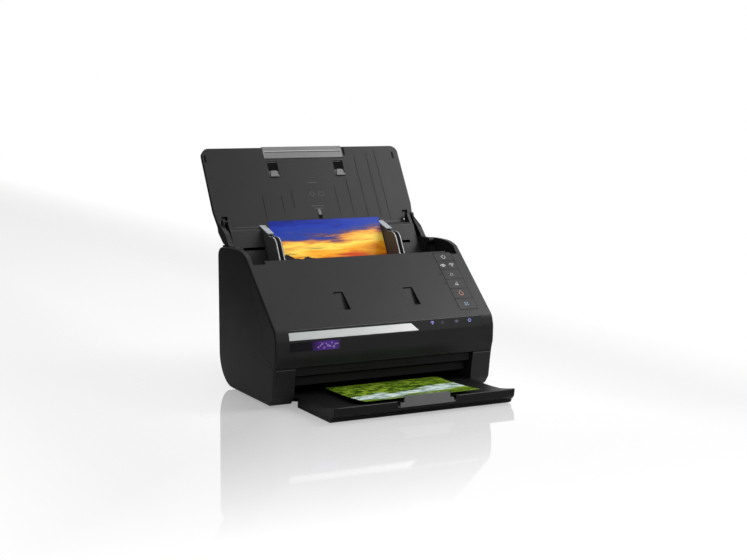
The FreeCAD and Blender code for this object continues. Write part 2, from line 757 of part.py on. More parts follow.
def belt_face(extra):
    """The face inside a loop that runs outside the three pulleys at a distance of extra."""
    big = PULLEY_RADIUS["feed"] + extra
    small = PULLEY_RADIUS["small"] + extra
    wheels = [(FEED, big), (EXIT, small), (TRANSPORT, small)]
    runs = []
    for i, (centre, radius) in enumerate(wheels):
        following, next_radius = wheels[(i + 1) % len(wheels)]
        a = FreeCAD.Vector(0, *centre)
        b = FreeCAD.Vector(0, *following)
        along = (b - a).normalize()
        side = FreeCAD.Vector(0, along.z, -along.y)
        lean = (radius - next_radius) / a.distanceToPoint(b)
        out = along * lean + side * math.sqrt(1 - lean * lean)
        runs.append((a + out * radius, b + out * next_radius, out))
    edges = []
    for i, (start, end, out) in enumerate(runs):
        edges.append(Part.LineSegment(start, end).toShape())
        leave, _, turned = runs[(i + 1) % len(runs)]
        centre, radius = wheels[(i + 1) % len(wheels)]
        middle = FreeCAD.Vector(0, *centre) + (out + turned).normalize() * radius
        edges.append(Part.Arc(end, middle, leave).toShape())
    return Part.Face(Part.Wire(edges))


def main_board():
    x0, x1, z0, z1 = BOARD
    board = box(x0, x1, BOARD_Y, BOARD_Y + BOARD_THICK, z0, z1)
    chips = [
        box(x0 + 20, x0 + 40, BOARD_Y - 2, BOARD_Y, z0 + 30, z0 + 50),
        box(x0 + 60, x0 + 72, BOARD_Y - 2, BOARD_Y, z0 + 34, z0 + 46),
        box(x1 - 30, x1 - 10, BOARD_Y - 6, BOARD_Y, z1 - 14, z1 - 8),
    ]
    return joined(board, *chips)


def socket_depth():
    return REAR_Y - BOARD_Y - BOARD_THICK + 0.2


def power_inlet():
    wide, high = INLET_BODY
    y0 = BOARD_Y + BOARD_THICK
    body = box(INLET_X - wide / 2, INLET_X + wide / 2, y0, REAR_Y - SKIN - GAP, SOCKET_Z - high / 2,
               SOCKET_Z + high / 2)
    along = FreeCAD.Vector(0, 1, 0)
    nose = Part.makeCylinder(4.8, socket_depth(), FreeCAD.Vector(INLET_X, y0, SOCKET_Z), along)
    bore = Part.makeCylinder(INLET_RADIUS, 20, FreeCAD.Vector(INLET_X, y0 + 3, SOCKET_Z), along)
    pin = Part.makeCylinder(1.0, socket_depth() - 3.5, FreeCAD.Vector(INLET_X, y0 + 2, SOCKET_Z), along)
    return joined(body, nose).cut(bore).fuse(pin).removeSplitter()


def usb_port():
    wide, high = USB_BODY
    y0 = BOARD_Y + BOARD_THICK
    y1 = y0 + socket_depth()
    body = box(USB_X - wide / 2, USB_X + wide / 2, y0, y1, SOCKET_Z - high / 2, SOCKET_Z + high / 2)
    hollow = box(
        USB_X - wide / 2 + 1.6,
        USB_X + wide / 2 - 1.6,
        y0 + 3,
        y1 + 1,
        SOCKET_Z - high / 2 + 1.5,
        SOCKET_Z + high / 2 - 1.5,
    )
    tongue = box(USB_X - 2.6, USB_X + 2.6, y0 + 2, y1 - 1.5, SOCKET_Z - 1.4, SOCKET_Z + 1.4)
    return body.cut(hollow).fuse(tongue).removeSplitter()


def cover_shell():
    outer = casing_solid(HALF_WIDTH, radius=EDGE_RADIUS).common(cover_region(0.0))
    inner = casing_solid(HALF_WIDTH - SIDE_SKIN, inset=SKIN)
    reach = HALF_WIDTH + 5.0
    inner = inner.cut(both(box(CHEEK_INNER, reach, -60, 120, CHEEK_BOTTOM_Z, TOP_Z + 5)))
    beyond = on_slope(box(-CHEEK_INNER, CHEEK_INNER, 0, 80, -60, 60))
    shell = outer.cut([inner, beyond])
    pockets = [on_slope(pocket(x)) for x in (-CLIP_X, CLIP_X)]
    lining = [on_slope(pocket_lining(x)) for x in (-CLIP_X, CLIP_X)]
    shell = shell.fuse(lining).cut(pockets)
    x0, x1 = KEY_X
    keys = on_slope(box(x0, x1, -KEY_ROWS[-1], -KEY_ROWS[0], -20, 5))
    shell = shell.cut([keys, band_solid(GAP / 2, BAND_DEEP), badge_solid(GAP / 3, STRIP_DEEP)])
    notch = both(on_slope(box(HOPPER_EAR_X[0] - 1.5, CHEEK_INNER, -NOTCH_ROW, 1, -12, 5)))
    shell = shell.cut(notch)
    ear_room = both(rod(HINGE, HINGE_EAR_RADIUS + 0.8, HINGE_EAR_X[0] - 0.5, HINGE_EAR_X[1] + 0.5))
    return shell.cut(ear_room).removeSplitter()


def pocket(x):
    """One pocket of the slope: shallow at the top, deep and wider at the bottom."""
    row0, row1 = POCKET_ROWS
    half0, half1 = POCKET_HALF
    deep0, deep1 = POCKET_DEEP
    rings = []
    for row, half, deep in ((row0, half0, deep0), (row1, half1, deep1)):
        ring = [
            FreeCAD.Vector(x - half, -row, 1),
            FreeCAD.Vector(x + half, -row, 1),
            FreeCAD.Vector(x + half, -row, -deep),
            FreeCAD.Vector(x - half, -row, -deep),
        ]
        rings.append(Part.makePolygon(ring + [ring[0]]))
    return Part.makeLoft(rings, True, True)


def pocket_lining(x):
    """The wall under one pocket, on the inside of the cover's skin."""
    row0, row1 = POCKET_ROWS
    half = POCKET_HALF[1] + 1.8
    return box(x - half, x + half, -row1 - 1.8, -row0 + 1.8, -POCKET_DEEP[1] - 1.6, -SKIN + 0.5)


def band_solid(grow, deep, half=BAND_HALF, low=BAND_Z[0], high=BAND_Z[1]):
    """A strip that follows the front, between two heights, deep into the skin."""
    ring = casing_solid(half + grow).cut(casing_solid(half + grow + 1, inset=deep))
    return ring.common(box(-half - grow, half + grow, FRONT_Y - 5, -60, low - grow, high + grow))


def badge_solid(grow, deep):
    x0, x1 = BADGE_X
    z0, z1 = BADGE_Z
    ring = casing_solid(HALF_WIDTH - 5).cut(casing_solid(HALF_WIDTH, inset=deep))
    return ring.common(box(x0 - grow, x1 + grow, FRONT_Y - 5, -60, z0 - grow, z1 + grow))


def strip_solid(grow, deep):
    """The pale strip on the left of the band, with a slanted right end."""
    x0, x1 = STRIP_X
    z0, z1 = STRIP_Z
    ring = casing_solid(HALF_WIDTH - 5).cut(casing_solid(HALF_WIDTH, inset=deep))
    corners = [
        (x0 - grow, z0 - grow),
        (x1 + STRIP_SLANT + grow, z0 - grow),
        (x1 + grow, z1 + grow),
        (x0 - grow, z1 + grow),
    ]
    points = [FreeCAD.Vector(x, FRONT_Y - 5, z) for x, z in corners]
    face = Part.Face(Part.makePolygon(points + [points[0]]))
    return ring.common(face.extrude(FreeCAD.Vector(0, 30, 0)))


def display_window():
    return band_solid(0.0, BAND_DEEP).cut(strip_solid(0.1, STRIP_DEEP))


def label_strip():
    return strip_solid(0.0, STRIP_DEEP)


def badge():
    return badge_solid(0.0, STRIP_DEEP)


def key_spots():
    """Each key as (name, x0, x1, row0, row1)."""
    x0, x1 = KEY_X
    names = ("power", "split", "mode", "quality", "stop", "start")
    spots = []
    for i, name in enumerate(names):
        row0, row1 = KEY_ROWS[i], KEY_ROWS[i + 1]
        if i == KEY_SPLIT_ROW:
            middle = (x0 + x1) / 2
            spots.append(("view", x0, middle, row0, row1))
            spots.append(("wireless", middle, x1, row0, row1))
        else:
            spots.append((name, x0, x1, row0, row1))
    return spots


def key(x0, x1, row0, row1):
    """One key: a cap flush with the slope and a stem that reaches for its switch."""
    gap = KEY_GAP / 2
    cap = box(x0 + gap, x1 - gap, -row1 + gap, -row0 - gap, KEY_PROUD - KEY_THICK, KEY_PROUD)
    tall = [e for e in cap.Edges if abs(e.Length - KEY_THICK) < 1e-6]
    cap = cap.makeFillet(0.8, tall)
    centre = FreeCAD.Vector((x0 + x1) / 2, -(row0 + row1) / 2, KEY_PROUD - KEY_THICK - KEY_STEM_LONG)
    stem = Part.makeCylinder(KEY_STEM_RADIUS, KEY_STEM_LONG + 0.2, centre)
    return on_slope(joined(cap, stem))


def key_board():
    """The switch board under the keys, with a dome under each stem."""
    x0, x1 = KEY_X
    top = KEY_PROUD - KEY_THICK - KEY_STEM_LONG - KEY_TRAVEL - 0.2
    low = top - KEY_BOARD_THICK
    board = box(x0 - 3, x1 + 3, -KEY_ROWS[-1] - 3, -BOARD_TOP_ROW, low - 0.6, top - 0.6)
    domes = []
    for _, a, b, row0, row1 in key_spots():
        centre = FreeCAD.Vector((a + b) / 2, -(row0 + row1) / 2, top - 0.7)
        domes.append(Part.makeCylinder(3.0, 0.7, centre))
    posts = []
    for x in (x0 - 1.8, x1 + 1.8):
        for row in (KEY_ROWS[0] + 12, KEY_ROWS[-1] - 12):
            centre = FreeCAD.Vector(x, -row, top - 0.7)
            posts.append(Part.makeCylinder(1.3, -SKIN - top + 0.7, centre))
    return on_slope(joined(board, *domes, *posts))


def cover_inner_frame():
    """The moulding that carries the upper side of the paper path."""
    top = slope_at(3.4, -SKIN - 0.4)
    mouth = [top, (top[0] + 4.0, top[1] - 1.0), (9.0, 138.0), (18.5, 116.0)]
    ring = [FreeCAD.Vector(0, *p) for p in mouth]
    upper = offset_line([FreeCAD.Vector(0, *p) for p in PATH[1:]], PATH_GAP)
    end = FreeCAD.Vector(0, HINGE[0] + 6.6, HINGE[1] - 7.5)
    upper[-1] = FreeCAD.Vector(0, PATH[-1][0] + 1.5, PATH[-1][1] + PATH_GAP + 2.2)
    wall = ring + upper + [end]
    thick = offset_line(wall[1:], GUIDE_THICK)
    face = Part.Face(Part.makePolygon(wall[1:] + thick[::-1] + [wall[1]]))
    half = COVER_FRAME_HALF
    face.translate(FreeCAD.Vector(-half, 0, 0))
    skin = face.extrude(FreeCAD.Vector(2 * half, 0, 0))
    lip = slab([top, mouth[1], (mouth[1][0] - 1.5, mouth[1][1] - 4), slope_at(7.5, -SKIN)], -half, half)
    cheek_points = [(v.y, v.z) for v in wall[1:]]
    cheek_points += [
        (HINGE[0] - 1.9, HINGE[1] + 0.5),
        (FRONT_Y + SKIN + 1.4, 60.0),
        (FRONT_Y + SKIN + 1.2, 78.0),
        slope_at(SLOPE_LENGTH - 4, -SKIN - 0.2),
        slope_at(7.5, -SKIN - 0.2),
    ]
    cheek = slab(cheek_points, half - GUIDE_THICK, half)
    cheek = cheek.cut(rod(HINGE, HINGE_PIN_RADIUS + HINGE_PIN_FIT, half - 5, half + 1))
    whole = joined(skin, lip, cheek, mirrored(cheek), recess_panel())
    spots = (
        (RETARD, FEED_ROLLER_RADIUS, TYRE_X),
        (TRANSPORT_IDLER, IDLER_RADIUS, WIDE_TYRE_X),
        (EXIT_IDLER, IDLER_RADIUS, WIDE_TYRE_X),
    )
    cuts = roller_windows(spots, 0.8)
    cuts += roller_windows([(c, FEED_ROLLER_RADIUS, TYRE_X) for c in (FEED,)], 0.8)
    for centre, _, _ in spots:
        cuts.append(rod(centre, SHAFT_RADIUS + SHAFT_FIT, -half - 1, half + 1))
        cuts.append(rod(centre, SHAFT_RADIUS + 1.3, -half + GUIDE_THICK, half - GUIDE_THICK))
        cuts.append(rod(centre, COLLAR_RADIUS + 0.5, -half + GUIDE_THICK, -half + 5.6))
        cuts.append(rod(centre, COLLAR_RADIUS + 0.5, half - 5.6, half - GUIDE_THICK))
    board_room = box(KEY_X[0] - 3.5, half + 1, -KEY_ROWS[-1] - 3.5, -BOARD_TOP_ROW + 0.5, -8.0, 0)
    cuts.append(on_slope(board_room))
    cuts.append(scan_block(-2, 20, SCAN_BAR[0] + 2 * GAP, SCAN_HALF + GAP))
    return whole.cut(cuts).removeSplitter()


def recess_panel():
    """The front panel of the recess, which hangs under the cover's lower edge."""
    y0, y1 = PANEL_Y
    z0, z1 = PANEL_Z
    points = [(y0, z0), (y0, z1), (y1 + 1.0, z1), (y1 + 3.6, HINGE[1] - 6.0), (y1 + 3.0, HINGE[1] - 8.0),
              (y1, z0)]
    return slab(points, -COVER_FRAME_HALF, COVER_FRAME_HALF)


def cover_scan_bar():
    low = PATH_GAP + GLASS[1] + 0.1
    return scan_block(low, PATH_GAP + SCAN_BAR[1], SCAN_BAR[0], SCAN_HALF)


def cover_glass():
    return scan_block(PATH_GAP + 0.1, PATH_GAP + GLASS[1] + 0.1, GLASS[0], SCAN_HALF - 2)


def cover_roller(centre, radius, tyres):
    half = COVER_FRAME_HALF
    shaft = rod(centre, SHAFT_RADIUS, -half, half)
    collars = [rod(centre, COLLAR_RADIUS, a, a + 1.4) for a in (-half + 3.6, half - 5.0)]
    return shaft.fuse([rod(centre, radius, a, b) for a, b in tyres] + collars).removeSplitter()


def hinge_pins():
    pin = rod(HINGE, HINGE_PIN_RADIUS, COVER_FRAME_HALF - 4.0, HINGE_EAR_X[1] + 0.6)
    head = rod(HINGE, HINGE_PIN_RADIUS + 0.8, COVER_FRAME_HALF - 5.2, COVER_FRAME_HALF - 3.4)
    return both(joined(pin, head))


def input_tray():
    t = FLAP_THICK - FLAP_BACK_SKIN
    plate = flat_plate(FLAP_HALF, 0, FLAP_LONG, -t, 0, FLAP_CORNER)
    taper = FLAP_HALF - FLAP_LOW_HALF
    wedge = [
        FreeCAD.Vector(FLAP_HALF + 1, -FLAP_TAPER_FROM, -20),
        FreeCAD.Vector(FLAP_HALF + 1, -FLAP_LONG - 1, -20),
        FreeCAD.Vector(FLAP_HALF - taper, -FLAP_LONG - 1, -20),
        FreeCAD.Vector(FLAP_HALF, -FLAP_TAPER_FROM, -20),
    ]
    wedge = Part.Face(Part.makePolygon(wedge + [wedge[0]])).extrude(FreeCAD.Vector(0, 0, 40))
    room = box(
        -EXTENSION_HALF - 1.0,
        EXTENSION_HALF + 1.0,
        -EXTENSION_LONG - 14,
        1,
        -t - 1,
        -FLAP_FRONT_SKIN,
    )
    grip = box(-HANDLE_HALF - 0.6, HANDLE_HALF + 0.6, -HANDLE_LONG - 0.8, 1, -t - 1, 1)
    lighten = [
        box(x0, x1, -FLAP_LONG + 5, -13, -t - 1, -FLAP_FRONT_SKIN)
        for x0, x1 in ((-128, -EXTENSION_HALF - 5), (EXTENSION_HALF + 5, 128))
    ]
    corner_cut = box(HOPPER_EAR_X[0] - 1.2, ARM_X[0], -FLAP_LONG - 1, -EAR_CUT_FROM, -3.0, 1)
    notch = ear_notch()
    cuts = [wedge, mirrored(wedge), room, grip, corner_cut, mirrored(corner_cut)] + lighten
    cuts += [notch, mirrored(notch)]
    cuts += size_grooves() + clip_seats()
    plate = on_flap(plate.cut(cuts))
    arm = tray_arm()
    pin = rod(PIVOT, PIVOT_RADIUS, ARM_X[1] - 1, CHEEK_INNER + PIVOT_DEEP)
    boss = rod(HOPPER_AXIS, HOPPER_PIN_RADIUS, HOPPER_EAR_X[0] - 0.6, ARM_X[0] + 1)
    arm = joined(arm, pin, boss)
    return joined(plate, arm, mirrored(arm))


def ear_notch():
    """The notch in the flap's lower edge that a hinge ear of the hopper passes through."""
    x0, x1 = HOPPER_EAR_X
    return box(x0 - 0.6, x1 + 0.6, -FLAP_LONG - 1, -FLAP_LONG + 11.0, -20, 1)


def tray_arm():
    """The arm from a lower corner of the flap down to the pivot in the cheek."""
    y, z = PIVOT
    r = ARM_HEAD_RADIUS
    points = [
        (y - r, z - r, r - 0.05),
        (y + 8.0, z - r, 4.0),
        (*ARM_HEEL, 3.0),
        flap_at(FLAP_LONG - 1.0, -FLAP_THICK + FLAP_BACK_SKIN),
        flap_at(ARM_ROW, -3.0),
        flap_at(ARM_ROW, -0.5),
        (*ARM_ELBOW, 6.0),
        (*ARM_KNEE, 5.0),
        (y - r, z + r, r - 0.05),
    ]
    y, z = HOPPER_AXIS
    r = HOPPER_LUG_RADIUS
    lug_points = [
        (y - r, z - 6.0),
        (y - r, z + r, r - 0.05),
        (y + r, z + r, r - 0.05),
        (y + r + 4.0, z - 4.0),
    ]
    lug = slab(lug_points, ARM_X[0], ARM_X[0] + 3.0)
    return joined(slab(points, *ARM_X), lug)


def size_grooves():
    """Shallow grooves that mark paper widths on the front of the flap."""
    cuts = []
    for x, row0, row1 in WIDTH_LINES:
        cuts.append(box(x - 0.4, x + 0.4, -row1, -row0, -0.4, 1))
    return cuts


def clip_seats():
    row0, row1 = SEAT_ROWS
    return [box(x - SEAT_HALF, x + SEAT_HALF, -row1, -row0, -2.0, 1) for x in (-CLIP_X, CLIP_X)]


def tray_rear_cover():
    t = FLAP_THICK - FLAP_BACK_SKIN
    plate = flat_plate(FLAP_HALF - 1.2, 1.2, FLAP_LONG - 1.5, -FLAP_THICK, -t, FLAP_CORNER - 1.2)
    corner_cut = box(FLAP_LOW_HALF - 1.2, FLAP_HALF + 1, -FLAP_LONG - 1, -FLAP_TAPER_FROM, -20, 1)
    notch = ear_notch()
    plate = plate.cut([corner_cut, mirrored(corner_cut), notch, mirrored(notch)])
    return on_flap(plate)


def clip(x):
    """One clip of the flap: a sunk plate with a ramp that widens downwards."""
    row0, row1 = SEAT_ROWS
    half = SEAT_HALF - GAP
    seat = box(x - half, x + half, -row1 + GAP, -row0 - GAP, -2.0, -1.2)
    rings = []
    for row, wide, high in ((row0 + 13.0, 3.8, 0.4), (row1 - 0.6, 6.4, 2.0)):
        ring = [
            FreeCAD.Vector(x - wide, -row, -1.4),
            FreeCAD.Vector(x + wide, -row, -1.4),
            FreeCAD.Vector(x + wide, -row, high),
            FreeCAD.Vector(x - wide, -row, high),
        ]
        rings.append(Part.makePolygon(ring + [ring[0]]))
    ramp = Part.makeLoft(rings, True, True)
    return on_flap(joined(seat, ramp))


def tray_clips():
    return Part.makeCompound([clip(-CLIP_X), clip(CLIP_X)])


def tray_extension():
    low = -FLAP_THICK + FLAP_BACK_SKIN + 0.2
    high = low + EXTENSION_THICK
    plate = box(-EXTENSION_HALF, EXTENSION_HALF, -EXTENSION_LONG, -HANDLE_LONG, low, high)
    slots = [box(x - 1.5, x + 1.5, -EXTENSION_LONG + 6, -30, low - 1, high + 1) for x in (-40, 40)]
    return on_flap(plate.cut(slots))


def extension_handle():
    low = -FLAP_THICK + FLAP_BACK_SKIN + 0.2
    grip = box(-HANDLE_HALF, HANDLE_HALF, -HANDLE_LONG, HANDLE_PROUD, low, 0.3)
    long = [e for e in grip.Edges if abs(e.Length - 2 * HANDLE_HALF) < 1e-6]
    grip = grip.makeFillet(0.9, long)
    finger = box(-HANDLE_HALF + 3, HANDLE_HALF - 3, -8.4, -6.4, -0.5, 1)
    return on_flap(grip.cut(finger))


def hopper_front():
    """The panel that the paper leans on, with its side walls and hinge ears."""
    back = HOPPER_BACK + HOPPER_SKIN
    plate = box(-HOPPER_HALF, HOPPER_HALF, -HOPPER_LONG, -HOPPER_TOP, back, HOPPER_FRONT)
    top = [e for e in plate.Edges if abs(e.Length - 2 * HOPPER_HALF) < 1e-6]
    top = [e for e in top if abs(e.CenterOfMass.y + HOPPER_TOP) < 1e-6 and e.CenterOfMass.z > back + 1]
    plate = plate.makeFillet(HOPPER_TOP_RADIUS, top)
    room = box(-HOPPER_HALF + 3, HOPPER_HALF - 3, -HOPPER_LONG + 3, -HOPPER_TOP - 8, back - 1,
               HOPPER_FRONT - HOPPER_SKIN)
    reach = GUIDE_X + GUIDE_OPEN + GUIDE_PLATES_APART + GUIDE_PLATE + 1.4
    inner = GUIDE_X - GUIDE_CLOSED - 2.4
    slots = []
    for x0, x1 in ((inner, reach), (-reach, -inner)):
        high = HOPPER_FRONT + 1
        slots.append(box(x0, x1, -SLOT_ROW - SLOT_HIGH / 2, -SLOT_ROW + SLOT_HIGH / 2, -20, high))
    boss = HOPPER_BOSS_RADIUS
    ear_points = [
        (-HOPPER_TOP, HOPPER_BACK + HOPPER_SKIN),
        (-HOPPER_TOP - 14.0, HOPPER_BACK + HOPPER_SKIN),
        (-HOPPER_TOP - 14.0, HOPPER_FRONT),
        (-boss, boss, boss - 0.05),
        (boss, boss, boss - 0.05),
        (boss, -boss, 2.0),
    ]
    ear = slab(ear_points, *HOPPER_EAR_X)
    ear = ear.cut(rod((0.0, 0.0), HOPPER_PIN_RADIUS + HOPPER_PIN_FIT, 100, 150))
    plate = plate.cut([room] + slots)
    return on_hopper(joined(plate, ear, mirrored(ear)))


def hopper_back():
    back = HOPPER_BACK + HOPPER_SKIN
    plate = box(-HOPPER_HALF, HOPPER_HALF, -HOPPER_LONG, -HOPPER_TOP, HOPPER_BACK, back)
    seat = Part.makeCylinder(4.0, rack_level() - GAP - back, FreeCAD.Vector(0, -SLOT_ROW, back))
    high = rack_level() + RACK_THICK - back
    peg = Part.makeCylinder(2.0, high, FreeCAD.Vector(0, -SLOT_ROW, back))
    return on_hopper(joined(plate, seat, peg))


def pinion_flat():
    pinion = gear(PINION_TEETH, 0, RACK_THICK, (0, 0), 0, 2.0 + PIVOT_FIT)
    pinion.rotate(FreeCAD.Vector(0, 0, 0), FreeCAD.Vector(0, 1, 0), -90)
    return pinion


def rack_level():
    return HOPPER_FRONT - HOPPER_SKIN - GAP - RACK_THICK


def guide_pinion():
    """The pinion that ties the two racks together, on its peg in the hopper."""
    pinion = pinion_flat()
    pinion.translate(FreeCAD.Vector(0, -SLOT_ROW, rack_level()))
    return on_hopper(pinion)


def rack(side):
    """A toothed bar beside the pinion: above it for the left guide, below it for the right."""
    pitch = rack_pitch()
    step = math.pi * GEAR_MODULE
    far = GUIDE_X + GUIDE_PLATES_APART
    near = -(GUIDE_CLOSED + 4.0)
    level = pitch + 1.25 * GEAR_MODULE
    bar = box(near, far, level, level + RACK_HIGH, 0, RACK_THICK)
    teeth = []
    count = int((far - near) / step)
    for i in range(count):
        middle = rack_phase() + (i - int(-near / step)) * step
        if middle - 1.2 < near or middle + 1.2 > far:
            continue
        corners = [
            FreeCAD.Vector(middle - 1.02, level + 0.1, 0),
            FreeCAD.Vector(middle - 0.34, pitch - 0.75 * GEAR_MODULE, 0),
            FreeCAD.Vector(middle + 0.34, pitch - 0.75 * GEAR_MODULE, 0),
            FreeCAD.Vector(middle + 1.02, level + 0.1, 0),
        ]
        tooth = Part.Face(Part.makePolygon(corners + [corners[0]]))
        teeth.append(tooth.extrude(FreeCAD.Vector(0, 0, RACK_THICK)))
    bar = bar.fuse(teeth).removeSplitter()
    if side < 0:
        bar = bar.mirror(FreeCAD.Vector(0, 0, 0), X_AXIS)
    else:
        bar = bar.mirror(FreeCAD.Vector(0, 0, 0), FreeCAD.Vector(0, 1, 0))
    bar.translate(FreeCAD.Vector(0, -SLOT_ROW, rack_level()))
    return bar


def rack_pitch():
    """The distance from the pinion's axis to a rack's pitch line."""
    return PINION_TEETH * GEAR_MODULE / 2 + 0.15


def rack_phase():
    """Where the first rack tooth stands: half a step from the pinion's tooth."""
    return math.pi * GEAR_MODULE / 2


def guide(side):
    """An edge guide: two upright plates, a top pad, a foot and its rack."""
    front = HOPPER_FRONT + GAP
    hook = -HOPPER_TOP + GAP
    points = [
        (hook, front, HOPPER_TOP_RADIUS + GAP),
        (hook, front - HOPPER_TOP_RADIUS - 1.0),
        (-PAD_LINE[0][0], PAD_LINE[0][1], 0.8),
        (-PAD_LINE[1][0], PAD_LINE[1][1] - 2.0, 6.0),
        (-41.5, GUIDE_FRONT + 2.0, GUIDE_SHOULDER),
        (-HOPPER_LONG + 2.0, GUIDE_FRONT, 2.0),
        (-HOPPER_LONG + 2.0, front),
    ]
    inner = slab(points, GUIDE_X, GUIDE_X + GUIDE_PLATE)
    outer_x = GUIDE_X + GUIDE_PLATES_APART
    outer = slab(points, outer_x, outer_x + GUIDE_PLATE)
    bridge = box(GUIDE_X, outer_x + GUIDE_PLATE, -HOPPER_LONG + 2, -20.0, front, front + 3.0)
    low = rack_level()
    stem = box(
        GUIDE_X - 1.0,
        outer_x + GUIDE_PLATE,
        -SLOT_ROW - SLOT_HIGH / 2 + 0.4,
        -SLOT_ROW + SLOT_HIGH / 2 - 0.4,
        low,
        front + 1,
    )
    reach = math.copysign(rack_pitch() + 2.0 * GEAR_MODULE, -side)
    link_low = min(0.0, reach) - SLOT_ROW
    link_high = max(0.0, reach) - SLOT_ROW
    link = box(GUIDE_X - 1.0, GUIDE_X + 5.0, link_low, link_high, low, low + RACK_THICK)
    body = joined(inner, outer, bridge, stem, link)
    if side < 0:
        body = mirrored(body)
    body = joined(body, rack(side))
    return on_hopper(body)


def guide_pad(side):
    """The pale cap along the sloping top edge of a guide."""
    x0 = GUIDE_X
    x1 = GUIDE_X + GUIDE_PLATES_APART + GUIDE_PLATE
    (row0, out0), (row1, out1) = PAD_LINE
    long = math.hypot(row1 - row0, out1 - out0)
    u = ((row0 - row1) / long, (out1 - out0) / long)
    n = (u[1], -u[0])
    start, end = PAD_ENDS
    points = []
    for along, out in ((start, 0.0), (end, 0.0), (end, PAD_THICK), (start, PAD_THICK)):
        points.append((-row0 + u[0] * along + n[0] * out, out0 + u[1] * along + n[1] * out))
    pad = slab(points, x0, x1)
    if side < 0:
        pad = mirrored(pad)
    return on_hopper(pad)


def output_tray():
    """The sliding tray: a floor that rises to a curved front lip, and a skirt on each side."""
    y = TRAY_FRONT_Y
    lip_points = [
        (y, TRAY_LIP_TOP, 0.6),
        (y + 17.0, TRAY_LIP_TOP - 3.4, 60.0),
        (y + 32.0, TRAY_FLOOR_Z[1] + 0.9, 60.0),
        (y + 52.0, TRAY_FLOOR_Z[1]),
        (y + 52.0, TRAY_FLOOR_Z[0]),
        (y + 30.0, TRAY_FLOOR_Z[0], 4.0),
        (y + 22.0, TRAY_LIP_LOW, 4.0),
        (y + 5.4, TRAY_LIP_LOW, 1.2),
        (y + 1.4, TRAY_FLOOR_Z[0], 4.0),
    ]
    lip = slab(lip_points, -TRAY_HALF, TRAY_HALF)
    floor = box(-TRAY_HALF, TRAY_HALF, y + 50, TRAY_REAR_Y, *TRAY_FLOOR_Z)
    front, rear = TRAY_SKIRT_Y
    skirt = box(
        TRAY_HALF - TRAY_SKIRT, TRAY_HALF, y + front, y + rear, TRAY_SKIRT_LOW_Z, TRAY_FLOOR_Z[1]
    )
    side = RECESS_HALF - GAP
    runner = box(-side, side, FRONT_Y + 5.5, TRAY_REAR_Y, *TRAY_FLOOR_Z)
    whole = joined(lip, floor, runner, skirt, mirrored(skirt))
    low = TRAY_FLOOR_Z[0] + SEAT_FLOOR
    half = OUT_EXT_HALF + PART_GAP
    channel = box(-half, half, y - 1, TRAY_REAR_Y - 20, low, TRAY_FLOOR_Z[1] + GAP)
    seat = box(-half, half, y + 34.0, TRAY_REAR_Y - 20, low, TRAY_LIP_TOP)
    notch = box(-half, half, y - 1, y + 5.5, low, TRAY_LIP_TOP + 1)
    return whole.cut([channel, seat, notch]).removeSplitter()


def output_extension():
    """The plate that slides out of the tray's lip, with an ear on each side of the stopper."""
    y = TRAY_FRONT_Y
    low = TRAY_FLOOR_Z[0] + SEAT_FLOOR + 0.1
    plate = box(-OUT_EXT_HALF, OUT_EXT_HALF, y + 3.0, TRAY_REAR_Y - 20.4, low, TRAY_FLOOR_Z[1])
    ear = box(STOP_HALF[0] + GAP, OUT_EXT_HALF, y + 0.2, y + 3.4, low, STOP_AXIS[1] + 1.9)
    ear = ear.cut(rod(STOP_AXIS, STOP_PIN + PIVOT_FIT, 0, OUT_EXT_HALF + 1))
    slots = [
        box(x - 1.5, x + 1.5, y + 45, TRAY_REAR_Y - 26, low - 1, TRAY_FLOOR_Z[1] + 1) for x in (-26, 26)
    ]
    return joined(plate, ear, mirrored(ear)).cut(slots)


def output_stopper():
    """The grey stop that stands in the notch of the lip and swings down to the front."""
    y, z = STOP_AXIS
    half = STOP_THICK / 2
    low = [(y - half, z - half, half - 0.02), (y + half, z - half, half - 0.02), (y + half, STOP_Z[0]),
           (y - half, STOP_Z[0])]
    head = slab(low, -STOP_HALF[0], STOP_HALF[0])
    stem = box(-STOP_HALF[1], STOP_HALF[1], y - half, y + half, STOP_Z[0] - 1, STOP_Z[1])
    corners = [e for e in stem.Edges if abs(e.Length - STOP_THICK) < 1e-6 and e.CenterOfMass.z > STOP_Z[0]]
    stem = stem.makeFillet(1.2, corners)
    pin = rod(STOP_AXIS, STOP_PIN, -OUT_EXT_HALF + 0.2, OUT_EXT_HALF - 0.2)
    return joined(head, stem, pin)


def tray_runner():
    """The lower strip of the output tray: the runner frame under its lip."""
    y = TRAY_FRONT_Y
    nose = slab(
        [
            (y + 6.2, TRAY_LIP_LOW - TRAY_GROOVE),
            (y + 7.6, 2.6, 1.5),
            (y + 9.6, TRAY_SKIRT_LOW_Z, 1.2),
            (y + 23.0, TRAY_SKIRT_LOW_Z),
            (y + 23.0, TRAY_LIP_LOW - TRAY_GROOVE),
        ],
        -TRAY_HALF,
        TRAY_HALF,
    )
    neck = box(-TRAY_HALF + 6, TRAY_HALF - 6, y + 10, y + 19, TRAY_LIP_LOW - 2.0, TRAY_LIP_LOW)
    return joined(nose, neck)


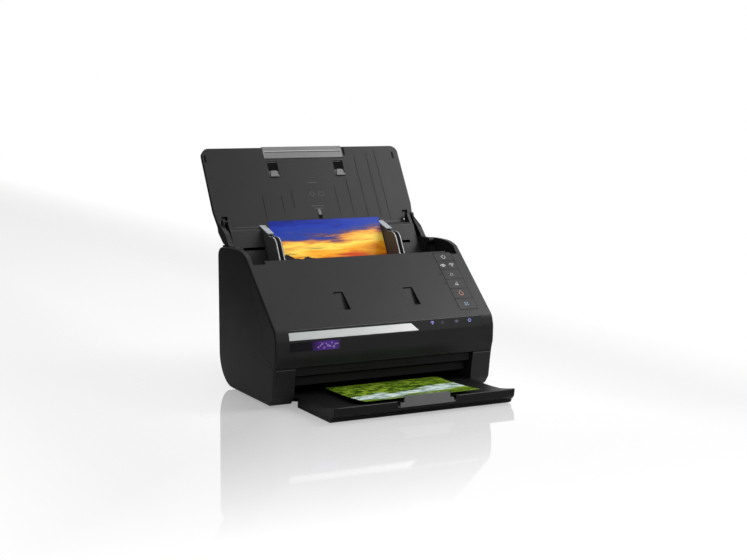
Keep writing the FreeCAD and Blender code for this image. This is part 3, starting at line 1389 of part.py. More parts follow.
PARTS = {
    "base_shell": base_shell,
    "bottom_plate": bottom_plate,
    "floor_screws": floor_screws,
    "rubber_feet": rubber_feet,
    "side_plate_left": lambda: side_plate(-1),
    "side_plate_right": lambda: side_plate(1),
    "lower_guide": lower_guide,
    "rear_deck": rear_deck,
    "base_scan_bar": base_scan_bar,
    "base_glass": base_glass,
    "feed_roller": feed_roller,
    "feed_gear": feed_gear,
    "transport_roller": lambda: small_roller(TRANSPORT),
    "exit_roller": lambda: small_roller(EXIT),
    "motor_pinion": motor_pinion,
    "drive_motor": drive_motor,
    "drive_belt": belt,
    "main_board": main_board,
    "power_inlet": power_inlet,
    "usb_port": usb_port,
    "cover_shell": cover_shell,
    "cover_inner_frame": cover_inner_frame,
    "cover_scan_bar": cover_scan_bar,
    "cover_glass": cover_glass,
    "separation_roller": lambda: cover_roller(RETARD, FEED_ROLLER_RADIUS, TYRE_X),
    "transport_idler": lambda: cover_roller(TRANSPORT_IDLER, IDLER_RADIUS, WIDE_TYRE_X),
    "exit_idler": lambda: cover_roller(EXIT_IDLER, IDLER_RADIUS, WIDE_TYRE_X),
    "cover_hinge_pins": hinge_pins,
    "display_window": display_window,
    "label_strip": label_strip,
    "badge": badge,
    "key_board": key_board,
    "input_tray": input_tray,
    "tray_rear_cover": tray_rear_cover,
    "tray_clips": tray_clips,
    "tray_extension": tray_extension,
    "extension_handle": extension_handle,
    "hopper_front": hopper_front,
    "hopper_back": hopper_back,
    "guide_pinion": guide_pinion,
    "guide_left": lambda: guide(-1),
    "guide_right": lambda: guide(1),
    "guide_pad_left": lambda: guide_pad(-1),
    "guide_pad_right": lambda: guide_pad(1),
    "output_tray": output_tray,
    "tray_runner": tray_runner,
    "output_extension": output_extension,
    "output_stopper": output_stopper,
}

for key_name, kx0, kx1, krow0, krow1 in key_spots():
    PARTS["key_" + key_name] = lambda a=kx0, b=kx1, c=krow0, d=krow1: key(a, b, c, d)

os.makedirs("parts", exist_ok=True)
for node, make in PARTS.items():
    shape = make()
    print(node, shape.isValid(), len(shape.Solids), round(shape.Volume))
    shape.exportStep("parts/" + node + ".step")
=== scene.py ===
"""The looks of a sheet-fed photo scanner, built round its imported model. Lengths are in metres."""

import math

import bmesh
import bpy
from mathutils import Matrix, Vector


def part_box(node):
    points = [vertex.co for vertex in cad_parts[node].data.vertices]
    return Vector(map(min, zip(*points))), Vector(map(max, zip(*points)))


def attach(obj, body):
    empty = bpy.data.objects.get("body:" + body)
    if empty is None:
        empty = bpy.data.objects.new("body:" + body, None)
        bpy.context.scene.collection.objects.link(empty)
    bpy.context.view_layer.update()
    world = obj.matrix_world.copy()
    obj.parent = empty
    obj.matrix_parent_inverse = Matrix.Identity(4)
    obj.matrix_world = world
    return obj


MM = 0.001

# Camera: where the photograph was taken from
PHOTO_AZIMUTH = -27.771
PHOTO_ELEVATION = 7.689
PHOTO_ROLL = 0.2915
PHOTO_LENS = 67.90
PHOTO_DISTANCE = 1.7605
PHOTO_AIM = (23.335 * MM, 32.921 * MM)
PHOTO_HEIGHT = 100 * MM

# Tilted faces of the model, as (angle, y, z): the angle to the table and one point on the face
SLOPE = (42.0, -7.4 * MM, 164.1 * MM)
FLAP = (60.0, 157.5 * MM, 292.0 * MM)
HOPPER = (58.4, 98.0 * MM, 202.0 * MM)

PRINT_WIDE = 102 * MM
PRINT_THICK = 0.28 * MM
UPPER_PRINT_LONG = 158 * MM
LOWER_PRINT_LONG = 152 * MM


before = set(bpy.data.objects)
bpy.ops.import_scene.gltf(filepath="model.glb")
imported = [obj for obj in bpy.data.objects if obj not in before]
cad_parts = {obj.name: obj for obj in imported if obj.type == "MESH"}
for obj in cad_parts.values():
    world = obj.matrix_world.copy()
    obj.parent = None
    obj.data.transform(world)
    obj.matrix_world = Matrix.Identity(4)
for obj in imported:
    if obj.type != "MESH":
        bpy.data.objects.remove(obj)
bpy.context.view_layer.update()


def srgb(value):
    """A grey or a colour given on the 0 to 255 scale of a screen, as linear values."""
    values = value if isinstance(value, tuple) else (value, value, value)
    linear = []
    for v in values:
        c = v / 255
        linear.append(c / 12.92 if c <= 0.04045 else ((c + 0.055) / 1.055) ** 2.4)
    return (*linear, 1.0)


class Nodes:
    """Short calls for building a tree of shader nodes."""

    def __init__(self, tree):
        self.tree = tree

    def add(self, kind, **settings):
        node = self.tree.nodes.new(kind)
        for key, value in settings.items():
            setattr(node, key, value)
        return node

    def put(self, socket, value):
        """Links a socket to the output given, or sets it to the plain value given."""
        if isinstance(value, bpy.types.NodeSocket):
            self.tree.links.new(value, socket)
        else:
            socket.default_value = value

    def math(self, operation, a, b=0.0, clamp=False):
        node = self.add("ShaderNodeMath", operation=operation, use_clamp=clamp)
        self.put(node.inputs[0], a)
        self.put(node.inputs[1], b)
        return node.outputs["Value"]

    def xyz(self, vector):
        node = self.add("ShaderNodeSeparateXYZ")
        self.put(node.inputs["Vector"], vector)
        return node.outputs["X"], node.outputs["Y"], node.outputs["Z"]

    def mix_shaders(self, fac, a, b):
        node = self.add("ShaderNodeMixShader")
        for socket, value in zip(node.inputs, (fac, a, b)):
            self.put(socket, value)
        return node.outputs["Shader"]


class Look(Nodes):
    """A node material with short calls for the nodes that these materials use."""

    def __init__(self, name):
        self.material = bpy.data.materials.new(name)
        self.material.use_nodes = True
        super().__init__(self.material.node_tree)
        self.shader = self.tree.nodes["Principled BSDF"]
        self.place = self.add("ShaderNodeTexCoord").outputs["Object"]

    def noise(self, scale, detail=2.0, roughness=0.5, vector=None, stretch=None):
        source = vector or self.place
        if stretch:
            mapping = self.add("ShaderNodeMapping")
            self.put(mapping.inputs["Scale"], stretch)
            self.put(mapping.inputs["Vector"], source)
            source = mapping.outputs["Vector"]
        node = self.add("ShaderNodeTexNoise")
        self.put(node.inputs["Scale"], scale)
        self.put(node.inputs["Detail"], detail)
        self.put(node.inputs["Roughness"], roughness)
        self.put(node.inputs["Vector"], source)
        return node.outputs["Fac"]

    def ramp(self, fac, stops):
        node = self.add("ShaderNodeValToRGB")
        elements = node.color_ramp.elements
        while len(elements) < len(stops):
            elements.new(0.5)
        for element, (position, colour) in zip(elements, stops):
            element.position = position
            element.color = colour
        self.put(node.inputs["Fac"], fac)
        return node.outputs["Color"]

    def mix(self, fac, a, b):
        node = self.add("ShaderNodeMix", data_type="RGBA")
        colours = [socket for socket in node.inputs if socket.type == "RGBA"]
        self.put(node.inputs["Factor"], fac)
        self.put(colours[0], a)
        self.put(colours[1], b)
        return [socket for socket in node.outputs if socket.type == "RGBA"][0]

    def bump(self, height, distance, strength=1.0):
        node = self.add("ShaderNodeBump")
        self.put(node.inputs["Strength"], strength)
        self.put(node.inputs["Distance"], distance)
        self.put(node.inputs["Height"], height)
        self.put(self.shader.inputs["Normal"], node.outputs["Normal"])

    def uneven(self, noise, middle, spread):
        """A roughness that swings about its middle with a noise."""
        return self.math("ADD", self.math("MULTIPLY", noise, spread), middle - spread / 2)

    def along(self, node, grain, amount):
        """From 0 at a CAD node's left edge to 1 at its right, made uneven by a noise."""
        low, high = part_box(node)
        x, _, _ = self.xyz(self.place)
        across = self.math("DIVIDE", self.math("SUBTRACT", x, low.x), high.x - low.x)
        shift = self.math("MULTIPLY", self.math("SUBTRACT", grain, 0.5), amount)
        return self.math("ADD", across, shift)

    def set(self, **values):
        for key, value in values.items():
            self.put(self.shader.inputs[key.replace("_", " ")], value)
        return self.material


def scaled(colour, factors):
    """A linear colour times a factor or three factors, opaque."""
    if not isinstance(factors, tuple):
        factors = (factors,) * 3
    return (*(c * f for c, f in zip(colour, factors)), 1.0)


def moulded(name, grey, roughness, specular, grain=2600.0, depth=0.03 * MM, tint=(1, 1, 1)):
    """Moulded plastic with a fine spark-eroded grain, slight cloudiness and faint handling wear."""
    look = Look(name)
    dark = scaled(srgb(grey * 0.93), tint)
    light = scaled(srgb(grey * 1.07), tint)
    clouds = look.noise(14.0, detail=4.0)
    fleck = look.noise(grain, detail=1.0)
    shade = look.math("ADD", look.math("MULTIPLY", clouds, 0.7), look.math("MULTIPLY", fleck, 0.3))
    colour = look.ramp(shade, ((0.3, dark), (0.7, light)))
    smear = look.noise(38.0, detail=3.0, stretch=(1.0, 0.35, 0.35))
    rough = look.uneven(smear, roughness, 0.12)
    look.bump(fleck, depth)
    return look.set(Base_Color=colour, Roughness=rough, Specular_IOR_Level=specular)


def polished(name, grey, roughness, specular):
    """Glossy plastic with faint polish marks."""
    look = Look(name)
    marks = look.noise(90.0, detail=5.0, stretch=(1.0, 0.2, 0.2))
    colour = look.ramp(marks, ((0.3, srgb(grey * 0.92)), (0.7, srgb(grey * 1.08))))
    rough = look.uneven(marks, roughness, 0.10)
    look.bump(look.noise(60.0, detail=2.0), 0.02 * MM, 0.4)
    return look.set(Base_Color=colour, Roughness=rough, Specular_IOR_Level=specular)


def brushed(name, grey, roughness=0.34):
    """Metal with fine lines along X."""
    look = Look(name)
    lines = look.noise(900.0, detail=3.0, stretch=(0.02, 1.0, 1.0))
    colour = look.ramp(lines, ((0.3, srgb(grey * 0.86)), (0.7, srgb(min(grey * 1.1, 250)))))
    rough = look.uneven(lines, roughness, 0.2)
    look.bump(lines, 0.01 * MM)
    return look.set(Base_Color=colour, Roughness=rough, Metallic=1.0)


def soft_rubber(name, grey):
    """Matt rubber with a fine rib."""
    look = Look(name)
    ribs = look.noise(1500.0, detail=2.0)
    colour = look.ramp(ribs, ((0.3, srgb(grey * 0.85)), (0.7, srgb(grey * 1.1))))
    look.bump(ribs, 0.05 * MM)
    return look.set(Base_Color=colour, Roughness=0.85, Specular_IOR_Level=0.2)


def glassy(name):
    """Clear glass with a little dust."""
    look = Look(name)
    dust = look.noise(400.0, detail=4.0)
    rough = look.math("MULTIPLY", dust, 0.08)
    return look.set(
        Base_Color=(0.92, 0.97, 0.96, 1.0), Roughness=rough, Transmission_Weight=0.9, IOR=1.5
    )


def circuit(name):
    """Solder mask with faint copper tracks under it."""
    look = Look(name)
    bricks = look.add("ShaderNodeTexBrick")
    for socket, value in (
        ("Scale", 240.0),
        ("Mortar Size", 0.06),
        ("Color1", (0.012, 0.07, 0.03, 1.0)),
        ("Color2", (0.016, 0.085, 0.036, 1.0)),
        ("Mortar", (0.03, 0.16, 0.07, 1.0)),
        ("Vector", look.place),
    ):
        look.put(bricks.inputs[socket], value)
    look.bump(bricks.outputs["Fac"], 0.03 * MM)
    return look.set(Base_Color=bricks.outputs["Color"], Roughness=0.4)


def silver_paint_with_painted_highlight(name):
    """The strip's silver paint, with a painted highlight that brightens it towards its slanted
    right end.
    """
    look = Look(name)
    grain = look.noise(3200.0, detail=1.0)
    colour = look.ramp(look.along("label_strip", grain, 0.12), (
        (0.0, srgb((176, 180, 179))), (0.55, srgb((196, 198, 198))), (1.0, srgb((226, 226, 226)))))
    look.bump(grain, 0.01 * MM)
    return look.set(Base_Color=colour, Roughness=0.38, Specular_IOR_Level=0.4)


def badge_print(name):
    """Printed film that runs from black at the left to violet at the right."""
    look = Look(name)
    haze = look.noise(160.0, detail=2.0)
    colour = look.ramp(look.along("badge", haze, 0.08), (
        (0.0, srgb((8, 7, 10))), (0.42, srgb((14, 10, 20))), (0.62, srgb((78, 40, 128))),
        (0.85, srgb((84, 50, 138))), (1.0, srgb((60, 42, 92)))))
    return look.set(Base_Color=colour, Roughness=0.22, Specular_IOR_Level=0.12)


def lit(name, colour, strength):
    """A small lamp behind a printed symbol."""
    look = Look(name)
    glow = look.noise(900.0, detail=1.0)
    shade = look.ramp(glow, ((0.2, scaled(colour, 0.8)), (0.8, colour)))
    return look.set(
        Base_Color=shade, Roughness=0.4, Emission_Color=shade, Emission_Strength=strength
    )


def ink(name, value):
    """Screen-printed ink, slightly uneven."""
    look = Look(name)
    cover = look.noise(1200.0, detail=2.0)
    shade = look.ramp(cover, ((0.25, scaled(srgb(value), 0.82)), (0.75, srgb(value))))
    return look.set(Base_Color=shade, Roughness=0.5)


BODY = moulded("body_plastic", 30, roughness=0.42, specular=0.12)
TRAY = moulded("tray_plastic", 34, roughness=0.42, specular=0.13)
OUT_TRAY = moulded("output_tray_plastic", 16, roughness=0.46, specular=0.1)
INNER = moulded("inner_plastic", 24, roughness=0.6, specular=0.1)
KEYS = moulded("key_plastic", 34, roughness=0.42, specular=0.12, grain=4000.0, depth=0.015 * MM)
GUIDES = moulded("guide_plastic", 82, roughness=0.45, specular=0.2)
HANDLE = moulded("handle_plastic", 102, roughness=0.42, specular=0.3, grain=3000.0)
STOPPER = moulded("stopper_plastic", 86, roughness=0.45, specular=0.3, grain=3000.0)
PAD = moulded("pad_plastic", 156, roughness=0.5, specular=0.3, tint=(0.94, 1.0, 1.08))
CLIPS = moulded("clip_plastic", 96, roughness=0.5, specular=0.3)
WHITE_GEAR = moulded("gear_plastic", 214, roughness=0.5, specular=0.3, tint=(1.0, 0.99, 0.94))
SENSOR = moulded("sensor_plastic", 205, roughness=0.55, specular=0.3)
WINDOW = polished("window_plastic", 16, roughness=0.12, specular=0.3)
STEEL = brushed("screw_steel", 190)
SHEET = brushed("sheet_steel", 176, roughness=0.42)
FOOT = soft_rubber("foot_rubber", 42)
TYRE = soft_rubber("tyre_rubber", 78)
BELT = soft_rubber("belt_rubber", 36)
GLASS = glassy("scan_glass")
BOARD = circuit("circuit_board")
SILVER = silver_paint_with_painted_highlight("strip_silver")
BADGE = badge_print("badge_film")
# Near-black for painted shade, as sheets and lines in gaps, slots, steps and under parts, and for
# the small dark level marks
SHADE_AND_DARK_MARKS = moulded("painted_shade_and_dark_marks", 9, roughness=0.8, specular=0.05)
# Greys for painted highlights: pale lines that stand in for light catching edges, seams, rims and
# raised marks
BRIGHT_HIGHLIGHT = moulded("painted_bright_highlight", 168, roughness=0.35, specular=0.5)
RIM_HIGHLIGHT = moulded("painted_rim_highlight", 170, roughness=0.35, specular=0.3)
DIM_HIGHLIGHT = moulded("painted_dim_highlight", 92, roughness=0.4, specular=0.3)
MARK_HIGHLIGHT = moulded("painted_mark_highlight", 84, roughness=0.5, specular=0.3)

NODE_LOOKS = {
    "base_shell": BODY, "bottom_plate": BODY, "cover_shell": BODY, "hopper_back": BODY,
    "tray_rear_cover": BODY, "input_tray": TRAY, "hopper_front": TRAY, "tray_extension": TRAY,
    "output_tray": OUT_TRAY, "tray_runner": OUT_TRAY, "output_extension": INNER,
    "lower_guide": INNER, "rear_deck": INNER, "cover_inner_frame": INNER,
    "floor_screws": STEEL, "rubber_feet": FOOT, "side_plate_left": SHEET, "side_plate_right": SHEET,
    "base_scan_bar": SENSOR, "cover_scan_bar": SENSOR, "base_glass": GLASS, "cover_glass": GLASS,
    "feed_roller": TYRE, "transport_roller": TYRE, "exit_roller": TYRE, "separation_roller": TYRE,
    "transport_idler": WHITE_GEAR, "exit_idler": WHITE_GEAR, "feed_gear": WHITE_GEAR,
    "motor_pinion": WHITE_GEAR, "guide_pinion": WHITE_GEAR, "drive_motor": STEEL,
    "drive_belt": BELT, "main_board": BOARD, "key_board": BOARD, "power_inlet": INNER,
    "usb_port": SHEET, "cover_hinge_pins": STEEL, "display_window": WINDOW, "label_strip": SILVER,
    "badge": BADGE, "tray_clips": CLIPS, "extension_handle": HANDLE, "guide_left": GUIDES,
    "guide_right": GUIDES, "guide_pad_left": PAD, "guide_pad_right": PAD,
    "output_stopper": STOPPER,
}

# The seven keys are the nodes that aren't named above
for node_name, node_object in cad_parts.items():
    finish = NODE_LOOKS.get(node_name, KEYS)
    for material_slot in node_object.material_slots:
        material_slot.material = finish


class Plane:
    """A flat face of the model: u runs to the right, v up along the face and w out of it."""

    def __init__(self, angle, y, z):
        a = math.radians(angle)
        self.v = Vector((0, math.cos(a), math.sin(a)))
        self.w = Vector((0, -math.sin(a), math.cos(a)))
        self.u = Vector((1, 0, 0))
        self.origin = Vector((0, y, z))

    def point(self, u, v, w=0.0):
        return self.origin + self.u * u + self.v * v + self.w * w

    def across(self, spot):
        """The (u, v, w) of a point of the model."""
        step = spot - self.origin
        return step.dot(self.u), step.dot(self.v), step.dot(self.w)

    def matrix(self, u, v, w=0.0):
        """The place of a flat piece drawn in its own XY plane."""
        turn = Matrix((self.u, self.v, self.w)).transposed().to_4x4()
        turn.translation = self.point(u, v, w)
        return turn


slope = Plane(*SLOPE)
flap = Plane(*FLAP)
hopper = Plane(*HOPPER)


def mesh_of(bm, name):
    """The mesh of a finished bmesh, with its faces turned outwards."""
    bmesh.ops.recalc_face_normals(bm, faces=bm.faces)
    mesh = bpy.data.meshes.new(name)
    bm.to_mesh(mesh)
    bm.free()
    return mesh


def tube(bm, rings, closed=False):
    """Faces round a row of four-cornered rings, with ends unless the row is closed."""
    following = rings[1:] + rings[:1] if closed else rings[1:]
    for a, b in zip(rings, following):
        for k in range(4):
            bm.faces.new((a[k], a[(k + 1) % 4], b[(k + 1) % 4], b[k]))
    if not closed:
        bm.faces.new(rings[0][::-1])
        bm.faces.new(rings[-1])


def new_object(name, mesh, material, body, matrix=None):
    """A piece of the visual model that rides on a body."""
    piece = bpy.data.objects.new(name, mesh)
    bpy.context.scene.collection.objects.link(piece)
    mesh.materials.append(material)
    if matrix:
        piece.matrix_world = matrix
    bpy.context.view_layer.update()
    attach(piece, body)
    return piece


SAME_POINT = 1e-7


def ribbon(name, lines, width, thick, material, body, matrix):
    """Flat strokes along lines of (x, y) points; a line that ends where it starts is closed."""
    bm = bmesh.new()
    for line in lines:
        points = [Vector(p) for p in line]
        closed = (points[0] - points[-1]).length < SAME_POINT
        if closed:
            points = points[:-1]
        count = len(points)
        rings = []
        for i, point in enumerate(points):
            way = Vector((0, 0))
            if closed or i:
                way += (point - points[i - 1]).normalized()
            if closed or i < count - 1:
                way += (points[(i + 1) % count] - point).normalized()
            way.normalize()
            side = Vector((-way.y, way.x)) * width / 2
            corners = []
            for sign, level in ((1, 0.0), (-1, 0.0), (-1, thick), (1, thick)):
                x, y = point + side * sign
                corners.append(bm.verts.new((x, y, level)))
            rings.append(corners)
        tube(bm, rings, closed)
    return new_object(name, mesh_of(bm, name), material, body, matrix)


def arc(x, y, radius, start, end, steps=18):
    """Points round part of a circle, with angles in degrees from the right."""
    points = []
    for i in range(steps + 1):
        a = math.radians(start + (end - start) * i / steps)
        points.append((x + radius * math.cos(a), y + radius * math.sin(a)))
    return points


def plate(name, outline, thick, material, body, matrix, bevel=0.0):
    """A flat piece with a given outline, drawn in its own plane and as thick as said."""
    bm = bmesh.new()
    face = bm.faces.new([bm.verts.new((x, y, 0)) for x, y in outline])
    made = bmesh.ops.extrude_face_region(bm, geom=[face])
    top = [part for part in made["geom"] if isinstance(part, bmesh.types.BMVert)]
    bmesh.ops.translate(bm, verts=top, vec=(0, 0, thick))
    piece = new_object(name, mesh_of(bm, name), material, body, matrix)
    if bevel:
        edge = piece.modifiers.new("bevel", "BEVEL")
        edge.width = bevel
        edge.segments = 2
        edge.limit_method = "ANGLE"
    return piece


def rounded(half_u, half_v, radius):
    """The outline of a rectangle with round corners."""
    points = []
    for cx, cy, start in ((1, 1, 0), (-1, 1, 90), (-1, -1, 180), (1, -1, 270)):
        x = cx * (half_u - radius)
        y = cy * (half_v - radius)
        points += arc(x, y, radius, start, start + 90, 5)
    return points


def in_mm(points):
    """Points given in millimetres, in metres."""
    return [(x * MM, y * MM) for x, y in points]


def box_outline(half_u, half_v):
    """The outline of a rectangle about the middle of its plane."""
    return [(-half_u, -half_v), (half_u, -half_v), (half_u, half_v), (-half_u, half_v)]


# The printed signs: half their size, their stroke and how far they stand out
ICON = 2.6 * MM
STROKE = 0.55 * MM
ICON_LIFT = 0.005 * MM
ICON_THICK = 0.02 * MM
KEY_TOP = 0.15 * MM


def power_sign(r):
    """A ring open at its top with a stroke in the gap."""
    return [arc(0, 0, r, 125, 415), [(0, 0.35 * r), (0, 1.25 * r)]]


def peak_sign(r):
    """A triangle, for the mode key."""
    return [[(-r, -0.8 * r), (r, -0.8 * r), (0, 0.9 * r), (-r, -0.8 * r)]]


def eye_sign(r):
    """A lens with a dot in its middle, for the view key."""
    lids = [arc(0, -0.9 * r, 1.6 * r, 34, 146, 12), arc(0, 0.9 * r, 1.6 * r, 214, 326, 12)]
    return lids + [arc(0, 0, 0.3 * r, 0, 360, 8)]


def signal_sign(r):
    """Two wide arcs over a dot, the common sign for a radio link."""
    return [arc(0, -0.6 * r, k * r, 38, 142, 10) for k in (0.85, 1.6)] + [
        arc(0, -0.6 * r, 0.2 * r, 0, 360, 8)
    ]


def steps_sign(r):
    """Two bars on a base line, for the quality key."""
    return [
        [(-r, -0.8 * r), (r, -0.8 * r)],
        [(-0.5 * r, -0.8 * r), (-0.5 * r, 0.2 * r)],
        [(0.4 * r, -0.8 * r), (0.4 * r, r)],
    ]


def stop_sign(r):
    """A ring with a gap at its top and a notch."""
    notch = [(-0.45 * r, 0.9 * r), (-0.45 * r, 1.5 * r), (0.45 * r, 1.5 * r)]
    return [arc(0, 0, r, 110, 430), notch]


def diamond(x, y, size):
    """A closed diamond about a point."""
    return [(x, y - size), (x + size, y), (x, y + size), (x - size, y), (x, y - size)]


def start_sign(r):
    """A ring of four dashes round a diamond."""
    dashes = [arc(0, 0, 1.05 * r, a, a + 50, 6) for a in (20, 110, 200, 290)]
    return dashes + [diamond(0, 0, 0.5 * r)]


PALE = ink("pale_ink", 190)
AMBER = ink("amber_ink", (190, 120, 92))
BLUE = ink("blue_ink", (118, 152, 184))

KEY_SIGNS = {
    "power": (power_sign, PALE),
    "view": (eye_sign, PALE),
    "wireless": (signal_sign, PALE),
    "mode": (peak_sign, PALE),
    "quality": (steps_sign, PALE),
    "stop": (stop_sign, AMBER),
    "start": (start_sign, BLUE),
}


def key_bounds(name):
    """The (u, v) of a key's low corner and of its high corner on the slope."""
    spots = [slope.across(v.co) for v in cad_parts["key_" + name].data.vertices]
    us = [u for u, _, _ in spots]
    vs = [v for _, v, _ in spots]
    return (min(us), min(vs)), (max(us), max(vs))


def key_middle(name):
    """The middle of a key's cap, as (u, v) on the slope."""
    (u0, v0), (u1, v1) = key_bounds(name)
    return (u0 + u1) / 2, (v0 + v1) / 2


for key_name, (sign, colour) in KEY_SIGNS.items():
    u, v = key_middle(key_name)
    place = slope.matrix(u, v, KEY_TOP + ICON_LIFT)
    ribbon("sign_" + key_name, sign(ICON), STROKE, ICON_THICK, colour, "key_" + key_name, place)

# Painted shade in the gaps round the keys: dark lines laid over them
KEY_LINE = 0.75 * MM
for key_name in KEY_SIGNS:
    (u0, v0), (u1, v1) = key_bounds(key_name)
    half = KEY_LINE / 2
    u0, u1, v0, v1 = u0 - half, u1 + half, v0 - half, v1 + half
    border = [(u0, v0), (u1, v0), (u1, v1), (u0, v1), (u0, v0)]
    ribbon("key_gap_shade_" + key_name, [border], KEY_LINE, ICON_THICK, SHADE_AND_DARK_MARKS, "cover",
           slope.matrix(0.0, 0.0, ICON_LIFT))

# Small dark level marks on the slope, to the left of two keys
LEVEL_SHIFT = (-16.5 * MM, 1.0 * MM)
LEVEL_STROKE = 1.6 * STROKE
level_bars = [in_mm(line) for line in ([(-1.6, 0), (0.4, 0)], [(1.0, -0.8), (1.0, 0.8)])]
for side_key in ("mode", "quality"):
    u, v = key_middle(side_key)
    place = slope.matrix(u + LEVEL_SHIFT[0], v + LEVEL_SHIFT[1], ICON_LIFT)
    ribbon("level_" + side_key, level_bars, LEVEL_STROKE, ICON_THICK, SHADE_AND_DARK_MARKS, "cover", place)

# A face counts as facing front where its normal's y is below these
FACING_WINDOW = -0.2
FACING_FRONT = -0.5


def turned_to(normal):
    """A turn that lays a flat piece on a face with this normal, with its top upwards."""
    across = Vector((1, 0, 0))
    return Matrix((across, normal.cross(across), normal)).transposed().to_4x4()


# Lamps behind the display window
LAMP = lit("lamp_lilac", (0.30, 0.28, 0.80, 1.0), 1.0)
LAMP_DIM = lit("lamp_dim", (0.10, 0.10, 0.16, 1.0), 0.6)
LAMP_PLACES = (
    (61.0, LAMP, signal_sign),
    (75.0, LAMP_DIM, peak_sign),
    (95.0, LAMP_DIM, eye_sign),
    (113.6, LAMP, power_sign),
)
LAMP_Z = 87.6 * MM
LAMP_SIZE = 1.9 * MM
LAMP_STROKE = 0.42 * MM


def window_face(x, z):
    """The place of a small sign on the display window at (x, z), turned with its face."""
    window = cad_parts["display_window"].data
    best = None
    for polygon in window.polygons:
        corners = [window.vertices[i].co for i in polygon.vertices]
        high = max(c.z for c in corners)
        low = min(c.z for c in corners)
        if low <= z <= high and polygon.normal.y < FACING_WINDOW:
            outer = min(c.y for c in corners)
            if best is None or outer < best[0]:
                best = (outer, polygon.normal.copy(), corners[0])
    _, normal, corner = best
    normal = Vector((0, normal.y, normal.z)).normalized()
    y = corner.y - (z - corner.z) * normal.z / normal.y
    turn = turned_to(normal)
    turn.translation = Vector((x, y, z)) + normal * ICON_LIFT
    return turn


for lamp_x, glow, sign in LAMP_PLACES:
    place = window_face(lamp_x * MM, LAMP_Z)
    ribbon("lamp_%d" % lamp_x, sign(LAMP_SIZE), LAMP_STROKE, ICON_THICK, glow, "cover", place)


VIOLET = ink("violet_ink", (214, 200, 236))
DIAMONDS = 11
DIAMOND_START = 3.0 * MM
DIAMOND_STEP = 2.5 * MM
DIAMOND_SWING = 2.6 * MM
DIAMOND_STROKE = 0.4 * MM
DIAMOND_SIZES = (0.55 * MM, 0.95 * MM, 1.35 * MM)
BADGE_LIFT = 0.02 * MM


def badge_motif():
    """Small diamonds of three sizes, scattered over the violet end of the badge."""
    low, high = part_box("badge")
    diamonds = []
    for i in range(DIAMONDS):
        x = high.x - DIAMOND_START - i * DIAMOND_STEP
        y = DIAMOND_SWING * math.sin(i * 2.4 + 0.4)
        size = DIAMOND_SIZES[i % 3]
        diamonds.append(diamond(x, y, size))
    place = turned_to(Vector((0, -1, 0)))
    place.translation = Vector((0, low.y - BADGE_LIFT, (low.z + high.z) / 2))
    ribbon("badge_diamonds", diamonds, DIAMOND_STROKE, ICON_THICK, VIOLET, "cover", place)


badge_motif()


def facing_front(node, x, z):
    """The place of a print on a node's front at (x, z), tilted with the face that is there."""
    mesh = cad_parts[node].data
    best = None
    for polygon in mesh.polygons:
        corners = [mesh.vertices[i].co for i in polygon.vertices]
        if polygon.normal.y > FACING_FRONT:
            continue
        if not min(c.x for c in corners) <= x <= max(c.x for c in corners):
            continue
        if not min(c.z for c in corners) <= z <= max(c.z for c in corners):
            continue
        corner = corners[0]
        normal = polygon.normal
        y = corner.y - ((z - corner.z) * normal.z + (x - corner.x) * normal.x) / normal.y
        if best is None or y < best[0]:
            best = (y, normal.copy())
    y, normal = best
    turn = turned_to(normal)
    turn.translation = Vector((0, y, z)) + normal * ICON_LIFT
    return turn


def flap_row(u, row, w=0.0):
    """The place of a flat piece on the flap, counted in rows down from its top edge."""
    return flap.matrix(u, -row, w)


# Thin lines and shades laid on the model's faces
LINE_THICK = 0.03 * MM
LINE_LIFT = 0.01 * MM

# The shaded upper floor of each clip's seat
CLIP_U = 47.8 * MM
SEAT_ROW = 27.6 * MM
SEAT_DEEP = -1.2 * MM
SEAT_HALF = (6.7 * MM, 6.0 * MM)
for side, name in ((-1, "left"), (1, "right")):
    plate("seat_shade_" + name, box_outline(*SEAT_HALF), LINE_THICK, SHADE_AND_DARK_MARKS, "input_tray",
          flap_row(side * CLIP_U, SEAT_ROW, SEAT_DEEP + LINE_LIFT))

# The small catch in the middle of the flap, over the print, with its shade
CATCH_U = 4.0 * MM
CATCH_ROW = 99.5 * MM
CATCH_SHADE_ROW = 103.0 * MM
CATCH_THICK = 0.5 * MM
CATCH_BEVEL = 0.3 * MM
catch = [(-2.0, 0.0), (2.0, 0.0), (2.0, 6.5), (0.9, 8.5), (-0.9, 8.5), (-2.0, 6.5)]
catch_shade = [(x * 1.45, y * 1.2 - 2.0) for x, y in catch]
plate("catch_shade", in_mm(catch_shade), LINE_THICK, SHADE_AND_DARK_MARKS, "input_tray",
      flap_row(CATCH_U, CATCH_SHADE_ROW, LINE_LIFT))
plate("catch", in_mm(catch), CATCH_THICK, CLIPS, "input_tray", flap_row(CATCH_U, CATCH_ROW),
      bevel=CATCH_BEVEL)

# Painted shade in the slots near the top corners of the flap: dark sheets laid on its face
SLOT_HALF = (1.3 * MM, 5.4 * MM)
SLOT_ROUND = 1.2 * MM
for name, u, row in (("right", 133.6 * MM, 14.2 * MM), ("left", -139.2 * MM, 14.7 * MM)):
    plate("corner_slot_shade_" + name, rounded(*SLOT_HALF, SLOT_ROUND), LINE_THICK, SHADE_AND_DARK_MARKS,
          "input_tray", flap_row(u, row, LINE_LIFT))

